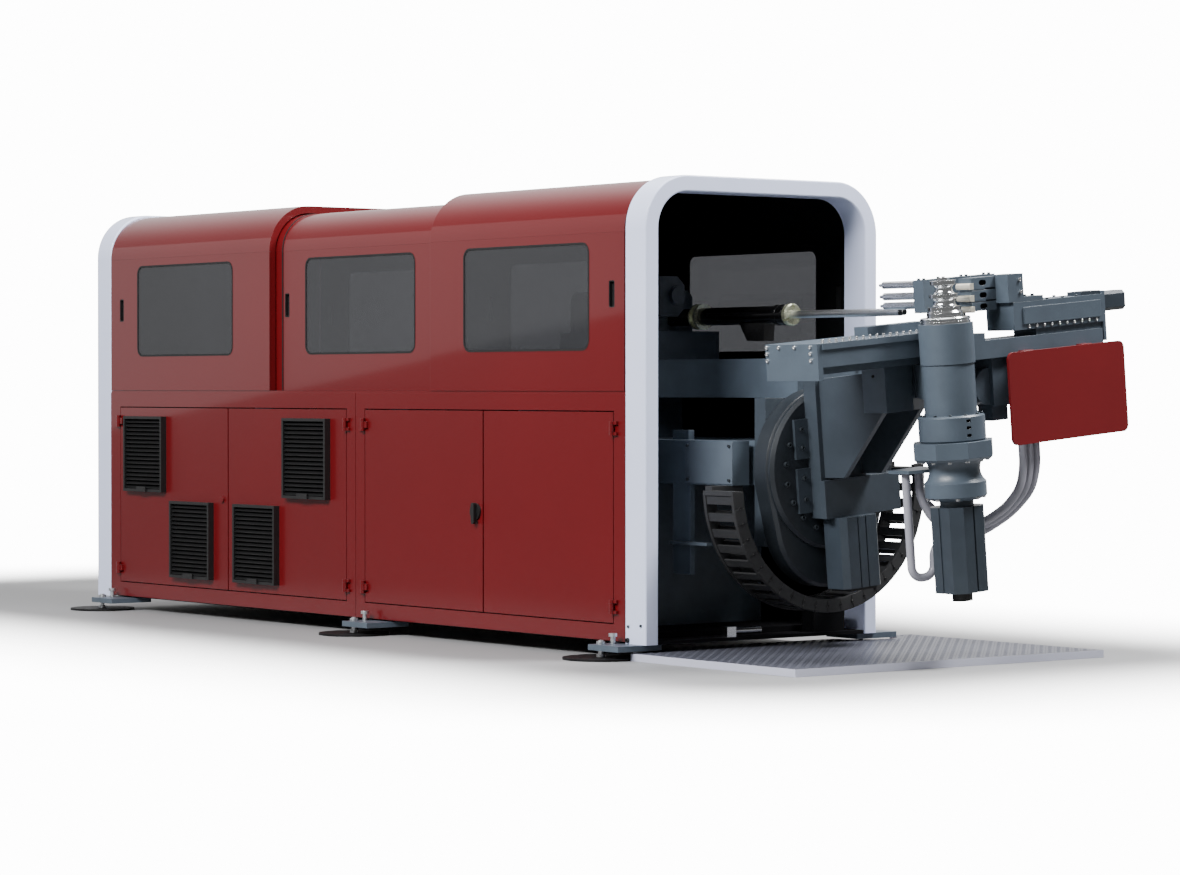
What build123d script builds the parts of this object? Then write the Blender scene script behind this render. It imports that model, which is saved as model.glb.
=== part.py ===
# Electric tube bending machine: a long cabinet with sliding hoods, a tube feed inside it,
# and a swivelling bending head in front of its open end.
# X runs along the machine towards the bending head, Y across it, Z up, in millimetres.
# The origin lies on the floor, midway between the four corner anchor holes.
import os
from math import cos, radians, sin

from build123d import *

os.makedirs("parts", exist_ok=True)

# Fits
seat_gap = 0.3
slide_gap = 0.5
running_gap = 5.0

# Housing
housing_length = 4668.0
housing_width = 1310.0
portal_bottom = 65.0
portal_height = 2000.0
portal_bar = 71.0
portal_depth = 143.0
portal_corner = 230.0
portal_edge = 8.0
wall_bottom = 73.0
wall_top = 1132.0
wall_thickness = 40.0
pan_thickness = 40.0
rear_wall_thickness = 20.0

front = housing_length / 2
rear = -front
near = -housing_width / 2
far = housing_width / 2
portal_top = portal_bottom + portal_height
body_front = front - portal_depth
body_rear = rear + portal_depth
body_length = body_front - body_rear
body_middle = (body_front + body_rear) / 2
pan_top = portal_bottom + pan_thickness

# Hood rails: a ledge inside each wall's top edge and a low tongue on it
rail_ledge = 60.0
rail_height = 20.0
tongue_height = 10.0
tongue_recess = 4.0

# Doors of the near side, in a rear and a front bay
door_bottom = 144.0
door_top = 1058.0
door_thickness = 22.0
rear_post = 99.0
middle_post = 152.0
front_post = 77.0
front_bay = 1916.0
seam_width = 4.0
seam_depth = 3.0
hinge_pin = 6.0
hinge_barrel = 11.0
hinge_length = 30.0
hinge_lug = 14.0
hinge_out = 12.0
hinge_inset = 75.0
rear_bay = body_length - rear_post - middle_post - front_post - front_bay
bay_starts = (body_rear + rear_post, body_front - front_post - front_bay)
bay_widths = (rear_bay, front_bay)

# Louvred filter grilles
vent_width = 385.0
vent_height = 388.0
vent_depth = 32.0
vent_rim = 14.0
vent_high = 621.0
vent_low = 192.0
vent_slats = 17
slat_thickness = 3.0
slat_angle = 35.0
vent_margins = (82.0, 139.0, 88.0, 142.0)

# Sliding hoods
hood_sheet = 8.0
hood_top = 2052.0
hood_corner = 230.0
hood_step = 42.0
hood_bottom = wall_top + tongue_height + seat_gap
rear_hood_length = 1553.0
front_hood_length = 1453.0
hood_cover = 46.0
window_sill = 1319.0
window_head = 1783.0
window_radius = 45.0
window_glass = 5.0
rear_window_margins = (277.0, 342.0)
middle_window_margins = (260.0, 182.0)
front_window_margins = (266.0, 253.0)
grip_width = 40.0
grip_height = 116.0
grip_level = 1558.0
hood_rear_end = body_rear + rear_hood_length
hood_front_end = body_front - front_hood_length

# Feet
foot_inset = 200.0
foot_outset = 85.0
foot_middle = front - 2100.0
foot_plate = 165.0
foot_plate_thickness = 10.0
foot_bolt = 11.0
foot_nut = 19.0
bracket_thickness = 25.0
bracket_length = 208.0
bracket_shift = 79.0
bracket_reach = 50.0
bracket_under = 60.0
anchor_hole = 9.0
anchor_offset = 110.0
foot_rows = front - foot_inset
foot_columns = far + foot_outset

# Tread mat in front of the opening
mat_length = 1220.0
mat_width = 1740.0
mat_thickness = 32.0
mat_rear = front - 190.0
mat_near = -705.0

# Machine bed and feed beam
axis_y = 100.0
axis_z = 812.0
bed_half_width = 400.0
bed_bottom = 740.0
bed_top = 930.0
bed_front = front + 150.0
bed_rear = body_rear + 120.0
cover_length = 320.0
cover_thickness = 4.0
feed_y = 200.0
feed_z = 1477.0
beam_half_width = 200.0
beam_bottom = 1113.0
beam_top = 1283.0

# Feed carriage, barrel and tube
carriage_rear = front - 1500.0
carriage_front = front - 770.0
carriage_base = 130.0
carriage_half_width = 180.0
barrel_front = front - 65.0
barrel_radius = 40.0
barrel_collar = 46.0
collar_length = 78.0
ring_radius = 58.0
collet_radius = 49.0
collet_length = 25.0
tube_radius = 17.0
tube_wall = 2.0
tube_front = front + 655.0
nose_length = 30.0

# Swivel unit
plate_rear = front + 150.0
plate_thickness = 72.0
plate_half = 280.0
plate_bottom = 478.0
casing_thickness = 92.0
casing_edge = 14.0
lobe_radius = 290.0
lobe_drop = 220.0
disc_radius = 345.0
disc_thickness = 26.0
beam_front = plate_rear + plate_thickness
swivel_front = beam_front + casing_thickness
tilt = 5.0

# Energy chain round the swivel axis
chain_radius = 545.0
chain_thickness = 58.0
chain_width = 200.0
chain_front = front + 300.0
chain_y = axis_y + 20.0
chain_z = axis_z - 76.0
chain_start = 182.0
chain_sweep = 188.0
chain_links = 24
link_bar = 36.0
link_side = 16.0
link_skin = 9.0

# Bending head, in the tilted frame whose origin is the swivel axis at the casing's front
base_front = 104.0
base_near = -140.0
base_far = 118.0
gusset_thickness = 25.0
tip_bottom = 252.0
tip_top = 446.0
tip_front = 546.0
housing_front = 136.0
housing_bottom = -200.0
housing_top = -38.0
motor_bottom = -505.0
cross_rear = 316.0
cross_front = 656.0
cross_near = -562.0
cross_far = 250.0
cross_bottom = 476.0
cross_top = 574.0
spindle_x = 781.0
spindle_radius = 108.0
flange_radius = 138.0
flange_bottom = 127.0
flange_top = 235.0
octagon_radius = 160.0
octagon_bottom = 50.0
gearbox_radius = 128.0
gearbox_bottom = -141.0
bend_motor_side = 195.0
bend_motor_bottom = -496.0
arm_bottom = tip_top + 6.0
arm_top = 528.0
arm_width = 150.0
arm_reach = 830.0
hub_radius = 113.0
hub_top = 611.0
slide_bottom = 555.0
slide_top = 672.0
slide_near = 318.0
slide_far = 838.0
panel_x = 886.0
panel_middle = (570.0, 277.0)
panel_size = (678.0, 385.0)
panel_thickness = 12.0
hose_radius = 18.0
riser_bottom = 90.0

head_origin = (swivel_front, axis_y, axis_z)
head = Plane(origin=head_origin, x_dir=(1, 0, 0), z_dir=(0, -sin(radians(tilt)), cos(radians(tilt))))

low = (Align.CENTER, Align.CENTER, Align.MIN)
corner = (Align.MIN, Align.MIN, Align.MIN)


def level(x, y, z):
    """Plane parallel to the head's floor, at a place in the head's frame."""
    return Plane(origin=head.from_local_coords((x, y, z)), x_dir=head.x_dir, z_dir=head.z_dir)


def facing_front(x, y=0.0, z=0.0):
    """Plane across the head, its normal towards the front, its X towards the far side."""
    return Plane(origin=head.from_local_coords((x, y, z)), x_dir=head.y_dir, z_dir=head.x_dir)


def facing_near(x, y, z):
    """Plane along the head, its normal towards the near side, its X towards the front."""
    return Plane(origin=head.from_local_coords((x, y, z)), x_dir=head.x_dir, z_dir=-head.y_dir)


def across(x, y, z):
    """Plane across the machine, its normal towards the front, its X towards the far side."""
    return Plane(origin=(x, y, z), x_dir=(0, 1, 0), z_dir=(1, 0, 0))


def save(piece, name):
    piece.label = name
    export_step(piece, f"parts/{name}.step")


# Portals: rounded frames, open at the floor
def tunnel(width, top, radius, bottom):
    """Outline of an upright sheet tunnel, rounded at its two upper corners."""
    with Locations((0, (top + bottom) / 2)):
        Rectangle(width, top - bottom)
    fillet(vertices().group_by(Axis.Y)[-1], radius)


def portal(x_rear):
    with BuildPart() as frame:
        with BuildSketch(across(x_rear, 0, 0)):
            tunnel(housing_width, portal_top, portal_corner, portal_bottom)
            with BuildSketch(mode=Mode.SUBTRACT):
                inner_radius = portal_corner - portal_bar
                tunnel(housing_width - 2 * portal_bar, portal_top - portal_bar, inner_radius, portal_bottom)
        extrude(amount=portal_depth)
        for end in (0, -1):
            face = frame.faces().sort_by(Axis.X)[end]
            fillet(face.outer_wire().edges().filter_by(lambda e: e.center().Z > portal_bottom + 1), portal_edge)
    return frame.part


save(portal(front - portal_depth), "front_portal")
save(portal(rear), "rear_portal")


# Side walls with the ledge and the tongue that carry the hoods
def wall(side):
    outer = side * far
    with BuildPart() as panel:
        with Locations((body_middle, outer - side * wall_thickness / 2, wall_bottom)):
            Box(body_length, wall_thickness, wall_top - wall_bottom, align=low)
        with Locations((body_middle, outer - side * rail_ledge / 2, wall_top - rail_height)):
            Box(body_length, rail_ledge, rail_height, align=low)
        with Locations((body_middle, outer - side * (rail_ledge + tongue_recess) / 2, wall_top)):
            Box(body_length, rail_ledge - tongue_recess, tongue_height, align=low)
    return panel.part


with BuildPart() as near_wall:
    add(wall(-1))
    for start, width in zip(bay_starts, bay_widths):
        with Locations((start, near - 1, door_bottom)):
            Box(width, rail_ledge + 2, door_top - door_bottom, align=corner, mode=Mode.SUBTRACT)
    with Locations((bay_starts[1] - middle_post / 2, near, wall_bottom)):
        Box(seam_width, 2 * seam_depth, wall_top - wall_bottom, align=low, mode=Mode.SUBTRACT)
save(near_wall.part, "near_wall")
save(wall(1), "far_wall")

# Base pan between the walls, with a sill between the portal's legs and a block on it
sill_thickness = 15.0
sill_front = front - 5.0
sill_half = housing_width / 2 - portal_bar - seat_gap
block_rear_end = front - 120.0
block_length = 80.0
block_width = 180.0
block_height = 100.0
with BuildPart() as base_frame:
    with Locations((body_middle, 0, portal_bottom)):
        Box(body_length, housing_width - 2 * wall_thickness, pan_thickness, align=low)
    with Locations((body_front, -sill_half, portal_bottom)):
        Box(sill_front - body_front, 2 * sill_half, sill_thickness, align=corner)
    with Locations((block_rear_end, axis_y + 220, portal_bottom + sill_thickness)):
        Box(block_length, block_width, block_height, align=corner)
save(base_frame.part, "base_frame")

with BuildPart() as rear_wall:
    with BuildSketch(across(rear + portal_depth / 2, 0, 0)):
        inner_radius = portal_corner - portal_bar
        tunnel(housing_width - 2 * portal_bar, portal_top - portal_bar, inner_radius, portal_bottom)
    extrude(amount=rear_wall_thickness)
save(rear_wall.part, "rear_wall")


# Hoods: two side sheets with a window and grip slots, and a bent roof sheet on them
def hood_outline(inset):
    tunnel(housing_width - 2 * inset, hood_top - inset, hood_corner - inset, hood_bottom)


def hood(x_rear, x_front, inset, window, grips):
    with BuildPart() as shell:
        with BuildSketch(across(x_rear, 0, 0)):
            hood_outline(inset)
            with BuildSketch(mode=Mode.SUBTRACT):
                hood_outline(inset + hood_sheet)
        extrude(amount=x_front - x_rear)
        with BuildSketch(Plane.XZ.offset(-housing_width)):
            with Locations(((window[0] + window[1]) / 2, (window_sill + window_head) / 2)):
                RectangleRounded(window[1] - window[0], window_head - window_sill, window_radius)
            for grip_x in grips:
                with Locations((grip_x, grip_level)):
                    RectangleRounded(grip_width, grip_height, grip_width / 5)
        extrude(amount=2 * housing_width, mode=Mode.SUBTRACT)
        with Locations(((x_rear + x_front) / 2, 0, hood_top - hood_corner)):
            Box(x_front - x_rear, housing_width, seat_gap, mode=Mode.SUBTRACT)
    return shell.part


def window_pair(inset, window):
    with BuildPart() as panes:
        for side in (-1, 1):
            inner_face = side * (far - inset - hood_sheet / 2) + window_glass / 2
            with BuildSketch(Plane.XZ.offset(-inner_face)):
                with Locations(((window[0] + window[1]) / 2, (window_sill + window_head) / 2)):
                    RectangleRounded(window[1] - window[0], window_head - window_sill, window_radius)
            extrude(amount=window_glass)
    return panes.part


def window_span(start, end, margins):
    return start + margins[0], end - margins[1]


rear_window = window_span(body_rear, hood_rear_end, rear_window_margins)
middle_window = window_span(hood_rear_end, hood_front_end, middle_window_margins)
front_window = window_span(hood_front_end, body_front, front_window_margins)

rear_grips = (body_rear + 116,)
middle_grips = (hood_rear_end + 96, hood_front_end - 30)
front_grips = (body_front - 92,)

save(hood(body_rear + running_gap, hood_rear_end, 0, rear_window, rear_grips), "hood_rear")
save(hood(hood_rear_end - hood_cover, hood_front_end + hood_cover, hood_step, middle_window, middle_grips),
     "hood_middle")
save(hood(hood_front_end, body_front - running_gap, 0, front_window, front_grips), "hood_front")
save(window_pair(0, rear_window), "windows_rear")
save(window_pair(hood_step, middle_window), "windows_middle")
save(window_pair(0, front_window), "windows_front")

# Doors of the near side, hung at their outer edges
lock_radius = 16.0
lock_out = 10.0
lock_level = 599.0
door_lefts = [bay_starts[0], bay_starts[0] + rear_bay / 2, bay_starts[1], bay_starts[1] + front_bay / 2]
door_spans = [rear_bay / 2, rear_bay / 2, front_bay / 2, front_bay / 2]
vent_lefts = [
    [door_lefts[0] + vent_margins[0], door_lefts[1] - vent_margins[1] - vent_width],
    [bay_starts[0] + rear_bay - vent_margins[3] - vent_width, door_lefts[1] + vent_margins[2]],
    [],
    [],
]
hinge_levels = (door_bottom + hinge_inset, door_top - hinge_inset)


def door(left, span, hinge_left, grilles):
    hinge_x = left if hinge_left else left + span
    inward = 1 if hinge_left else -1
    leaf_height = door_top - door_bottom - 2 * running_gap
    opening = vent_height - 2 * vent_rim
    with BuildPart() as leaf:
        with Locations((left + running_gap, near, door_bottom + running_gap)):
            Box(span - 2 * running_gap, door_thickness, leaf_height, align=corner)
        for vent_left, vent_bottom in zip(grilles, (vent_high, vent_low)):
            with Locations((vent_left + vent_rim, near - 1, vent_bottom + vent_rim)):
                Box(vent_width - 2 * vent_rim, door_thickness + 2, opening, align=corner, mode=Mode.SUBTRACT)
        for z in hinge_levels:
            with Locations((hinge_x, near - hinge_out, z)):
                Cylinder(hinge_barrel, hinge_length)
            with Locations((hinge_x + inward * 20, near - hinge_out / 2, z)):
                Box(26, hinge_out, hinge_length)
            with Locations((hinge_x, near - hinge_out, z)):
                Cylinder(hinge_pin + seat_gap, hinge_length, mode=Mode.SUBTRACT)
    return leaf.part


for number in range(4):
    leaf = door(door_lefts[number], door_spans[number], number % 2 == 0, vent_lefts[number])
    if number == 0:
        with BuildPart() as locked_leaf:
            add(leaf)
            with BuildSketch(Plane.XZ.offset(-near)):
                with Locations((door_lefts[1] - 50, lock_level)):
                    Circle(lock_radius)
            extrude(amount=lock_out)
        leaf = locked_leaf.part
    save(leaf, f"door_{number + 1}")

# Hinge pins with their lugs, fixed to the door frame
with BuildPart() as door_hinges:
    lug_middle = (hinge_length + hinge_lug) / 2 + 1
    for number in range(4):
        hinge_left = number % 2 == 0
        hinge_x = door_lefts[number] if hinge_left else door_lefts[number] + door_spans[number]
        outward = -1 if hinge_left else 1
        for z in hinge_levels:
            with Locations((hinge_x, near - hinge_out, z)):
                Cylinder(hinge_pin, hinge_length + 2)
            for end in (-1, 1):
                with Locations((hinge_x, near - hinge_out, z + end * lug_middle)):
                    Cylinder(hinge_barrel, hinge_lug)
                with Locations((hinge_x + outward * 16, near - hinge_out / 2, z + end * lug_middle)):
                    Box(32, hinge_out, hinge_lug)
save(door_hinges.part, "door_hinges")


# Grilles: a frame, sloping slats and a latch tab at the foot
def grille(left, bottom):
    opening = vent_height - 2 * vent_rim
    with Locations((left, near - vent_depth, bottom)):
        Box(vent_width, vent_depth, vent_height, align=corner)
    with Locations((left + vent_rim, near - vent_depth - 1, bottom + vent_rim)):
        Box(vent_width - 2 * vent_rim, vent_depth + 2, opening, align=corner, mode=Mode.SUBTRACT)
    pitch = opening / vent_slats
    for slat in range(vent_slats):
        z = bottom + vent_rim + pitch * (slat + 0.5)
        with Locations(Location((left + vent_width / 2, near - vent_depth / 2, z), (slat_angle, 0, 0))):
            Box(vent_width - 2 * vent_rim + 4, vent_depth * 0.8, slat_thickness)
    with Locations((left + vent_width / 2, near - vent_depth - 4, bottom)):
        Box(90, 8, 26, align=low)


for number in range(2):
    with BuildPart() as vents:
        for vent_left, vent_bottom in zip(vent_lefts[number], (vent_high, vent_low)):
            grille(vent_left, vent_bottom)
    save(vents.part, f"door_{number + 1}_vents")

# Swing handle of the front bay
handle_x = door_lefts[3] - 55
with BuildPart() as swing_handle:
    with BuildSketch(Plane.XZ.offset(-near)):
        with Locations((handle_x, lock_level)):
            Circle(38)
    extrude(amount=9)
    with BuildSketch(Plane.XZ.offset(-near + 9)):
        with Locations((handle_x + 6, lock_level - 8)):
            RectangleRounded(22, 96, 10)
    extrude(amount=18)
save(swing_handle.part, "swing_handle")

# Feet: floor plates, brackets under the walls, levelling bolts and fixing screws
foot_places = [(x, side * foot_columns) for x in (-foot_rows, foot_middle, foot_rows) for side in (-1, 1)]
bracket_bottom = portal_bottom - bracket_thickness
screw_x = 33.0
screw_y = 40.0
with BuildPart() as foot_plates:
    for x, y in foot_places:
        with Locations((x, y, 0)):
            Cylinder(foot_plate, foot_plate_thickness, align=low)
        if x != foot_middle:
            with Locations((x, y + (anchor_offset if y > 0 else -anchor_offset), 0)):
                Cylinder(anchor_hole, foot_plate_thickness, align=low, mode=Mode.SUBTRACT)
save(foot_plates.part, "foot_plates")

with BuildPart() as foot_brackets:
    for x, y in foot_places:
        side = 1 if y > 0 else -1
        outer = side * (foot_columns + bracket_reach)
        inner = side * (far - wall_thickness - bracket_under)
        with Locations((x + bracket_shift, (outer + inner) / 2, bracket_bottom)):
            Box(bracket_length, abs(outer - inner), bracket_thickness, align=low)
        with Locations((x, y, bracket_bottom), (x + screw_x, y - side * screw_y, bracket_bottom)):
            Cylinder(foot_bolt + seat_gap, bracket_thickness, align=low, mode=Mode.SUBTRACT)
save(foot_brackets.part, "foot_brackets")

with BuildPart() as levelling_bolts:
    for x, y in foot_places:
        side = 1 if y > 0 else -1
        with Locations((x, y, foot_plate_thickness)):
            Cylinder(foot_bolt, portal_bottom + 17 - foot_plate_thickness, align=low)
        with Locations((x, y, foot_plate_thickness), (x, y, portal_bottom + seat_gap)):
            Cylinder(foot_nut, 12, align=low)
        with Locations((x + screw_x, y - side * screw_y, bracket_bottom)):
            Cylinder(foot_bolt, bracket_thickness + 44, align=low)
        with Locations((x + screw_x, y - side * screw_y, portal_bottom + 32)):
            Cylinder(foot_nut, 14, align=low)
save(levelling_bolts.part, "levelling_bolts")

# Tread mat, cut out round the two front foot plates
with BuildPart() as tread_mat:
    with Locations((mat_rear, mat_near, 0)):
        Box(mat_length, mat_width, mat_thickness, align=corner)
    for side in (-1, 1):
        with Locations((foot_rows, side * foot_columns, 0)):
            Cylinder(foot_plate + seat_gap, mat_thickness, align=low, mode=Mode.SUBTRACT)
save(tread_mat.part, "tread_mat")

# Machine bed with its cover plate, on legs, and the feed beam on columns above it
leg_width = 600.0
leg_length = 300.0
column_width = 240.0
column_length = 160.0
bed_near = axis_y - bed_half_width
notch_near = bed_near + 90
notch_width = 32.0
notch_depth = 60.0
with BuildPart() as machine_bed:
    with Locations(((bed_front + bed_rear) / 2, axis_y, bed_bottom)):
        Box(bed_front - bed_rear, 2 * bed_half_width, bed_top - bed_bottom, align=low)
    with Locations((bed_front - cover_length, bed_near - cover_thickness, bed_bottom + 5)):
        Box(cover_length, cover_thickness, bed_top - bed_bottom - 10, align=corner)
    with Locations((bed_front - notch_depth, notch_near, bed_bottom)):
        Box(notch_depth, notch_width, bed_top - bed_bottom, align=corner, mode=Mode.SUBTRACT)
    with Locations((front - 372, notch_near, bed_top)):
        Box(110, notch_width, 42, align=corner)
save(machine_bed.part, "machine_bed")

with BuildPart() as bed_columns:
    for x in (bed_rear + 200, 0, body_front - 500):
        with Locations((x, axis_y, pan_top)):
            Box(leg_length, leg_width, bed_bottom - pan_top, align=low)
    for x in (bed_rear + 200, -600, 500, body_front - 900):
        with Locations((x, feed_y, bed_top)):
            Box(column_length, column_width, beam_bottom - bed_top, align=low)
save(bed_columns.part, "bed_columns")

with BuildPart() as feed_beam:
    with Locations(((beam_front + bed_rear) / 2, feed_y, beam_bottom)):
        Box(beam_front - bed_rear, 2 * beam_half_width, beam_top - beam_bottom, align=low)
save(feed_beam.part, "feed_beam")

# Post under the bed with its shelf, and the small roller on the sill
post_width = 120.0
post_depth = 25.0
post_bottom = 350.0
shelf_level = 478.0
with BuildPart() as cable_post:
    with Locations((front - 258, bed_near, post_bottom)):
        Box(post_width, post_depth, bed_bottom - post_bottom, align=corner)
    with Locations((front - 244, bed_near - 30, shelf_level)):
        Box(253, 30, 14, align=corner)
save(cable_post.part, "cable_post")

roller_radius = 16.0
roller_x = front - 26.0
roller_level = 106.0
sill_top = portal_bottom + sill_thickness
with BuildPart() as pan_roller:
    with Locations((roller_x, axis_y - 275, sill_top)):
        Box(36, 50, 45, align=low)
    with BuildSketch(Plane(origin=(roller_x, axis_y - 250, roller_level), z_dir=(0, 1, 0))):
        Circle(roller_radius)
    extrude(amount=146)
save(pan_roller.part, "pan_roller")

# Feed carriage on the beam, with its motor at the near side
upper_half_width = 120.0
upper_front = carriage_front - 120.0
carriage_level = beam_top + slide_gap
with BuildPart() as feed_carriage:
    with Locations(((carriage_rear + carriage_front) / 2, feed_y, carriage_level)):
        Box(carriage_front - carriage_rear, 2 * carriage_half_width, carriage_base, align=low)
    with BuildSketch(across(carriage_rear, feed_y, carriage_level + carriage_base)):
        with Locations((0, 95)):
            Rectangle(2 * upper_half_width, 190)
        chamfer(vertices().group_by(Axis.Y)[-1], 30)
    extrude(amount=upper_front - carriage_rear)
save(feed_carriage.part, "feed_carriage")

motor_near = feed_y - 309.0
motor_width = 142.0
motor_foot = 1474.0
motor_height = 180.0
motor_start = carriage_front - 20.0
motor_end = front - 590.0
with BuildPart() as carriage_motor:
    with BuildSketch(across(motor_start, motor_near, motor_foot)):
        with Locations((motor_width / 2, motor_height / 2)):
            Rectangle(motor_width, motor_height)
        chamfer(vertices().group_by(Axis.X)[-1], 40)
    extrude(amount=motor_end - motor_start)
    with BuildSketch(across(motor_end, feed_y - 220, 1569)):
        Circle(40)
    extrude(amount=24)
    with Locations((motor_start - 10, motor_near, carriage_level + carriage_base)):
        Box(30, motor_width + 47, motor_foot + 140 - carriage_level - carriage_base, align=corner)
    with Locations((motor_start - 10, motor_near, carriage_level + carriage_base)):
        Box(30, motor_width - 13, motor_foot - carriage_level - carriage_base, align=corner, mode=Mode.SUBTRACT)
save(carriage_motor.part, "carriage_motor")

# Barrel with its end collar and the wedge under it, turned on the tube line
barrel_length = barrel_front - upper_front
with BuildPart() as feed_barrel:
    with BuildSketch(Plane(origin=(upper_front, feed_y, feed_z), x_dir=(1, 0, 0), z_dir=(0, -1, 0))):
        bore = tube_radius + 4
        with Locations((barrel_length / 2, (barrel_radius + bore) / 2)):
            Rectangle(barrel_length, barrel_radius - bore)
        with Locations((barrel_length - collar_length / 2, (barrel_collar + bore) / 2)):
            Rectangle(collar_length, barrel_collar - bore)
        with Locations((barrel_length - 12, barrel_collar), (barrel_length - 50, barrel_collar)):
            Rectangle(6, 5, mode=Mode.SUBTRACT)
    revolve(axis=Axis((upper_front, feed_y, feed_z), (1, 0, 0)))
    with BuildSketch(Plane(origin=(front, feed_y + 30, feed_z), x_dir=(1, 0, 0), z_dir=(0, -1, 0))):
        Polygon((-375, -34), (-319, -113), (-207, -114), (-199, -34), align=None)
    extrude(amount=60)
save(feed_barrel.part, "feed_barrel")

ring_rear = front - 705.0
ring_length = 48.0
ring_flange = 10.0
with BuildPart() as barrel_rings:
    with BuildSketch(Plane(origin=(ring_rear, feed_y, feed_z), x_dir=(1, 0, 0), z_dir=(0, -1, 0))):
        ring_bore = barrel_radius + seat_gap
        with Locations((ring_length / 2, (49 + ring_bore) / 2)):
            Rectangle(ring_length, 49 - ring_bore)
        with Locations((ring_flange / 2, (ring_radius + ring_bore) / 2)):
            Rectangle(ring_flange, ring_radius - ring_bore)
        with Locations((ring_length - ring_flange / 2, (ring_radius + ring_bore) / 2)):
            Rectangle(ring_flange, ring_radius - ring_bore)
    revolve(axis=Axis((ring_rear, feed_y, feed_z), (1, 0, 0)))
save(barrel_rings.part, "barrel_rings")

collet_rear = barrel_front + slide_gap
with BuildPart() as collet:
    with BuildSketch(across(collet_rear, feed_y, feed_z)):
        Circle(collet_radius)
        Circle(tube_radius, mode=Mode.SUBTRACT)
    extrude(amount=collet_length)
    chamfer(collet.edges().filter_by(GeomType.CIRCLE).group_by(Axis.X)[-1].sort_by(SortBy.RADIUS)[-1], 5)
    with BuildSketch(across(collet_rear + 9, feed_y, feed_z)):
        with PolarLocations((collet_radius + tube_radius) / 2 + 8, 3, 90):
            Rectangle(collet_radius - tube_radius, 7)
    extrude(amount=collet_length, mode=Mode.SUBTRACT)
save(collet.part, "collet")

with BuildPart() as workpiece_tube:
    with BuildSketch(across(barrel_front - 400, feed_y, feed_z)):
        Circle(tube_radius)
        Circle(tube_radius - tube_wall, mode=Mode.SUBTRACT)
    extrude(amount=tube_front - barrel_front + 400)
save(workpiece_tube.part, "workpiece_tube")

with BuildPart() as mandrel_nose:
    with BuildSketch(across(tube_front - 300, feed_y, feed_z)):
        Circle(tube_radius - tube_wall - seat_gap)
    extrude(amount=300 + nose_length)
    fillet(mandrel_nose.edges().filter_by(GeomType.CIRCLE).group_by(Axis.X)[-1], 8)
save(mandrel_nose.part, "mandrel_nose")

# Swivel unit: carrier plate and drive casing with a lower lobe
with BuildPart() as swivel_plate:
    with Locations((plate_rear + plate_thickness / 2, axis_y, plate_bottom)):
        Box(plate_thickness, 2 * plate_half, beam_bottom - plate_bottom, align=low)
save(swivel_plate.part, "swivel_plate")

with BuildPart() as swivel_casing:
    with BuildSketch(across(beam_front, axis_y, axis_z)):
        Circle(disc_radius)
        with Locations((0, -lobe_drop)):
            Circle(lobe_radius)
        make_hull()
    extrude(amount=casing_thickness)
    chamfer(swivel_casing.faces().sort_by(Axis.X)[-1].edges(), casing_edge)
save(swivel_casing.part, "swivel_casing")


# Energy chain: side bands joined by two rows of crossbars, and its anchor under the bed
chain_rear = chain_front - chain_width
link_angle = chain_sweep / chain_links
anchor_far = bed_near + 60
anchor_drop = 40.0
with BuildPart() as energy_chain:
    for band_rear in (chain_rear, chain_front - link_side):
        with BuildSketch(across(band_rear, chain_y, chain_z)):
            with BuildLine():
                outer = CenterArc((0, 0), chain_radius, chain_start, chain_sweep)
                inner = CenterArc((0, 0), chain_radius - chain_thickness, chain_start, chain_sweep)
                Line(outer @ 0, inner @ 0)
                Line(outer @ 1, inner @ 1)
            make_face()
        extrude(amount=link_side)
    with BuildSketch(across(chain_rear + link_side, chain_y, chain_z)):
        for radius in (chain_radius - link_skin, chain_radius - chain_thickness + link_skin):
            with PolarLocations(radius, chain_links, chain_start + link_angle / 2, chain_sweep - link_angle,
                                endpoint=True):
                Rectangle(link_skin, link_bar)
    extrude(amount=chain_width - 2 * link_side)
    chain_near = chain_y - chain_radius
    with Locations((chain_rear, chain_near, bed_bottom - anchor_drop)):
        Box(chain_width, chain_thickness, anchor_drop / 2, align=corner)
    with Locations((chain_rear + 2, chain_near + 12, bed_bottom - anchor_drop)):
        Box(44, anchor_far - chain_near - 12, anchor_drop, align=corner)
save(energy_chain.part, "energy_chain")

# Rotating side of the swivel: bolted disc
with BuildPart() as swivel_disc:
    with BuildSketch(facing_front(slide_gap)):
        Circle(disc_radius)
    extrude(amount=disc_thickness)
    chamfer(swivel_disc.edges().group_by(Axis.X)[-1], casing_edge)
save(swivel_disc.part, "swivel_disc")

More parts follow.
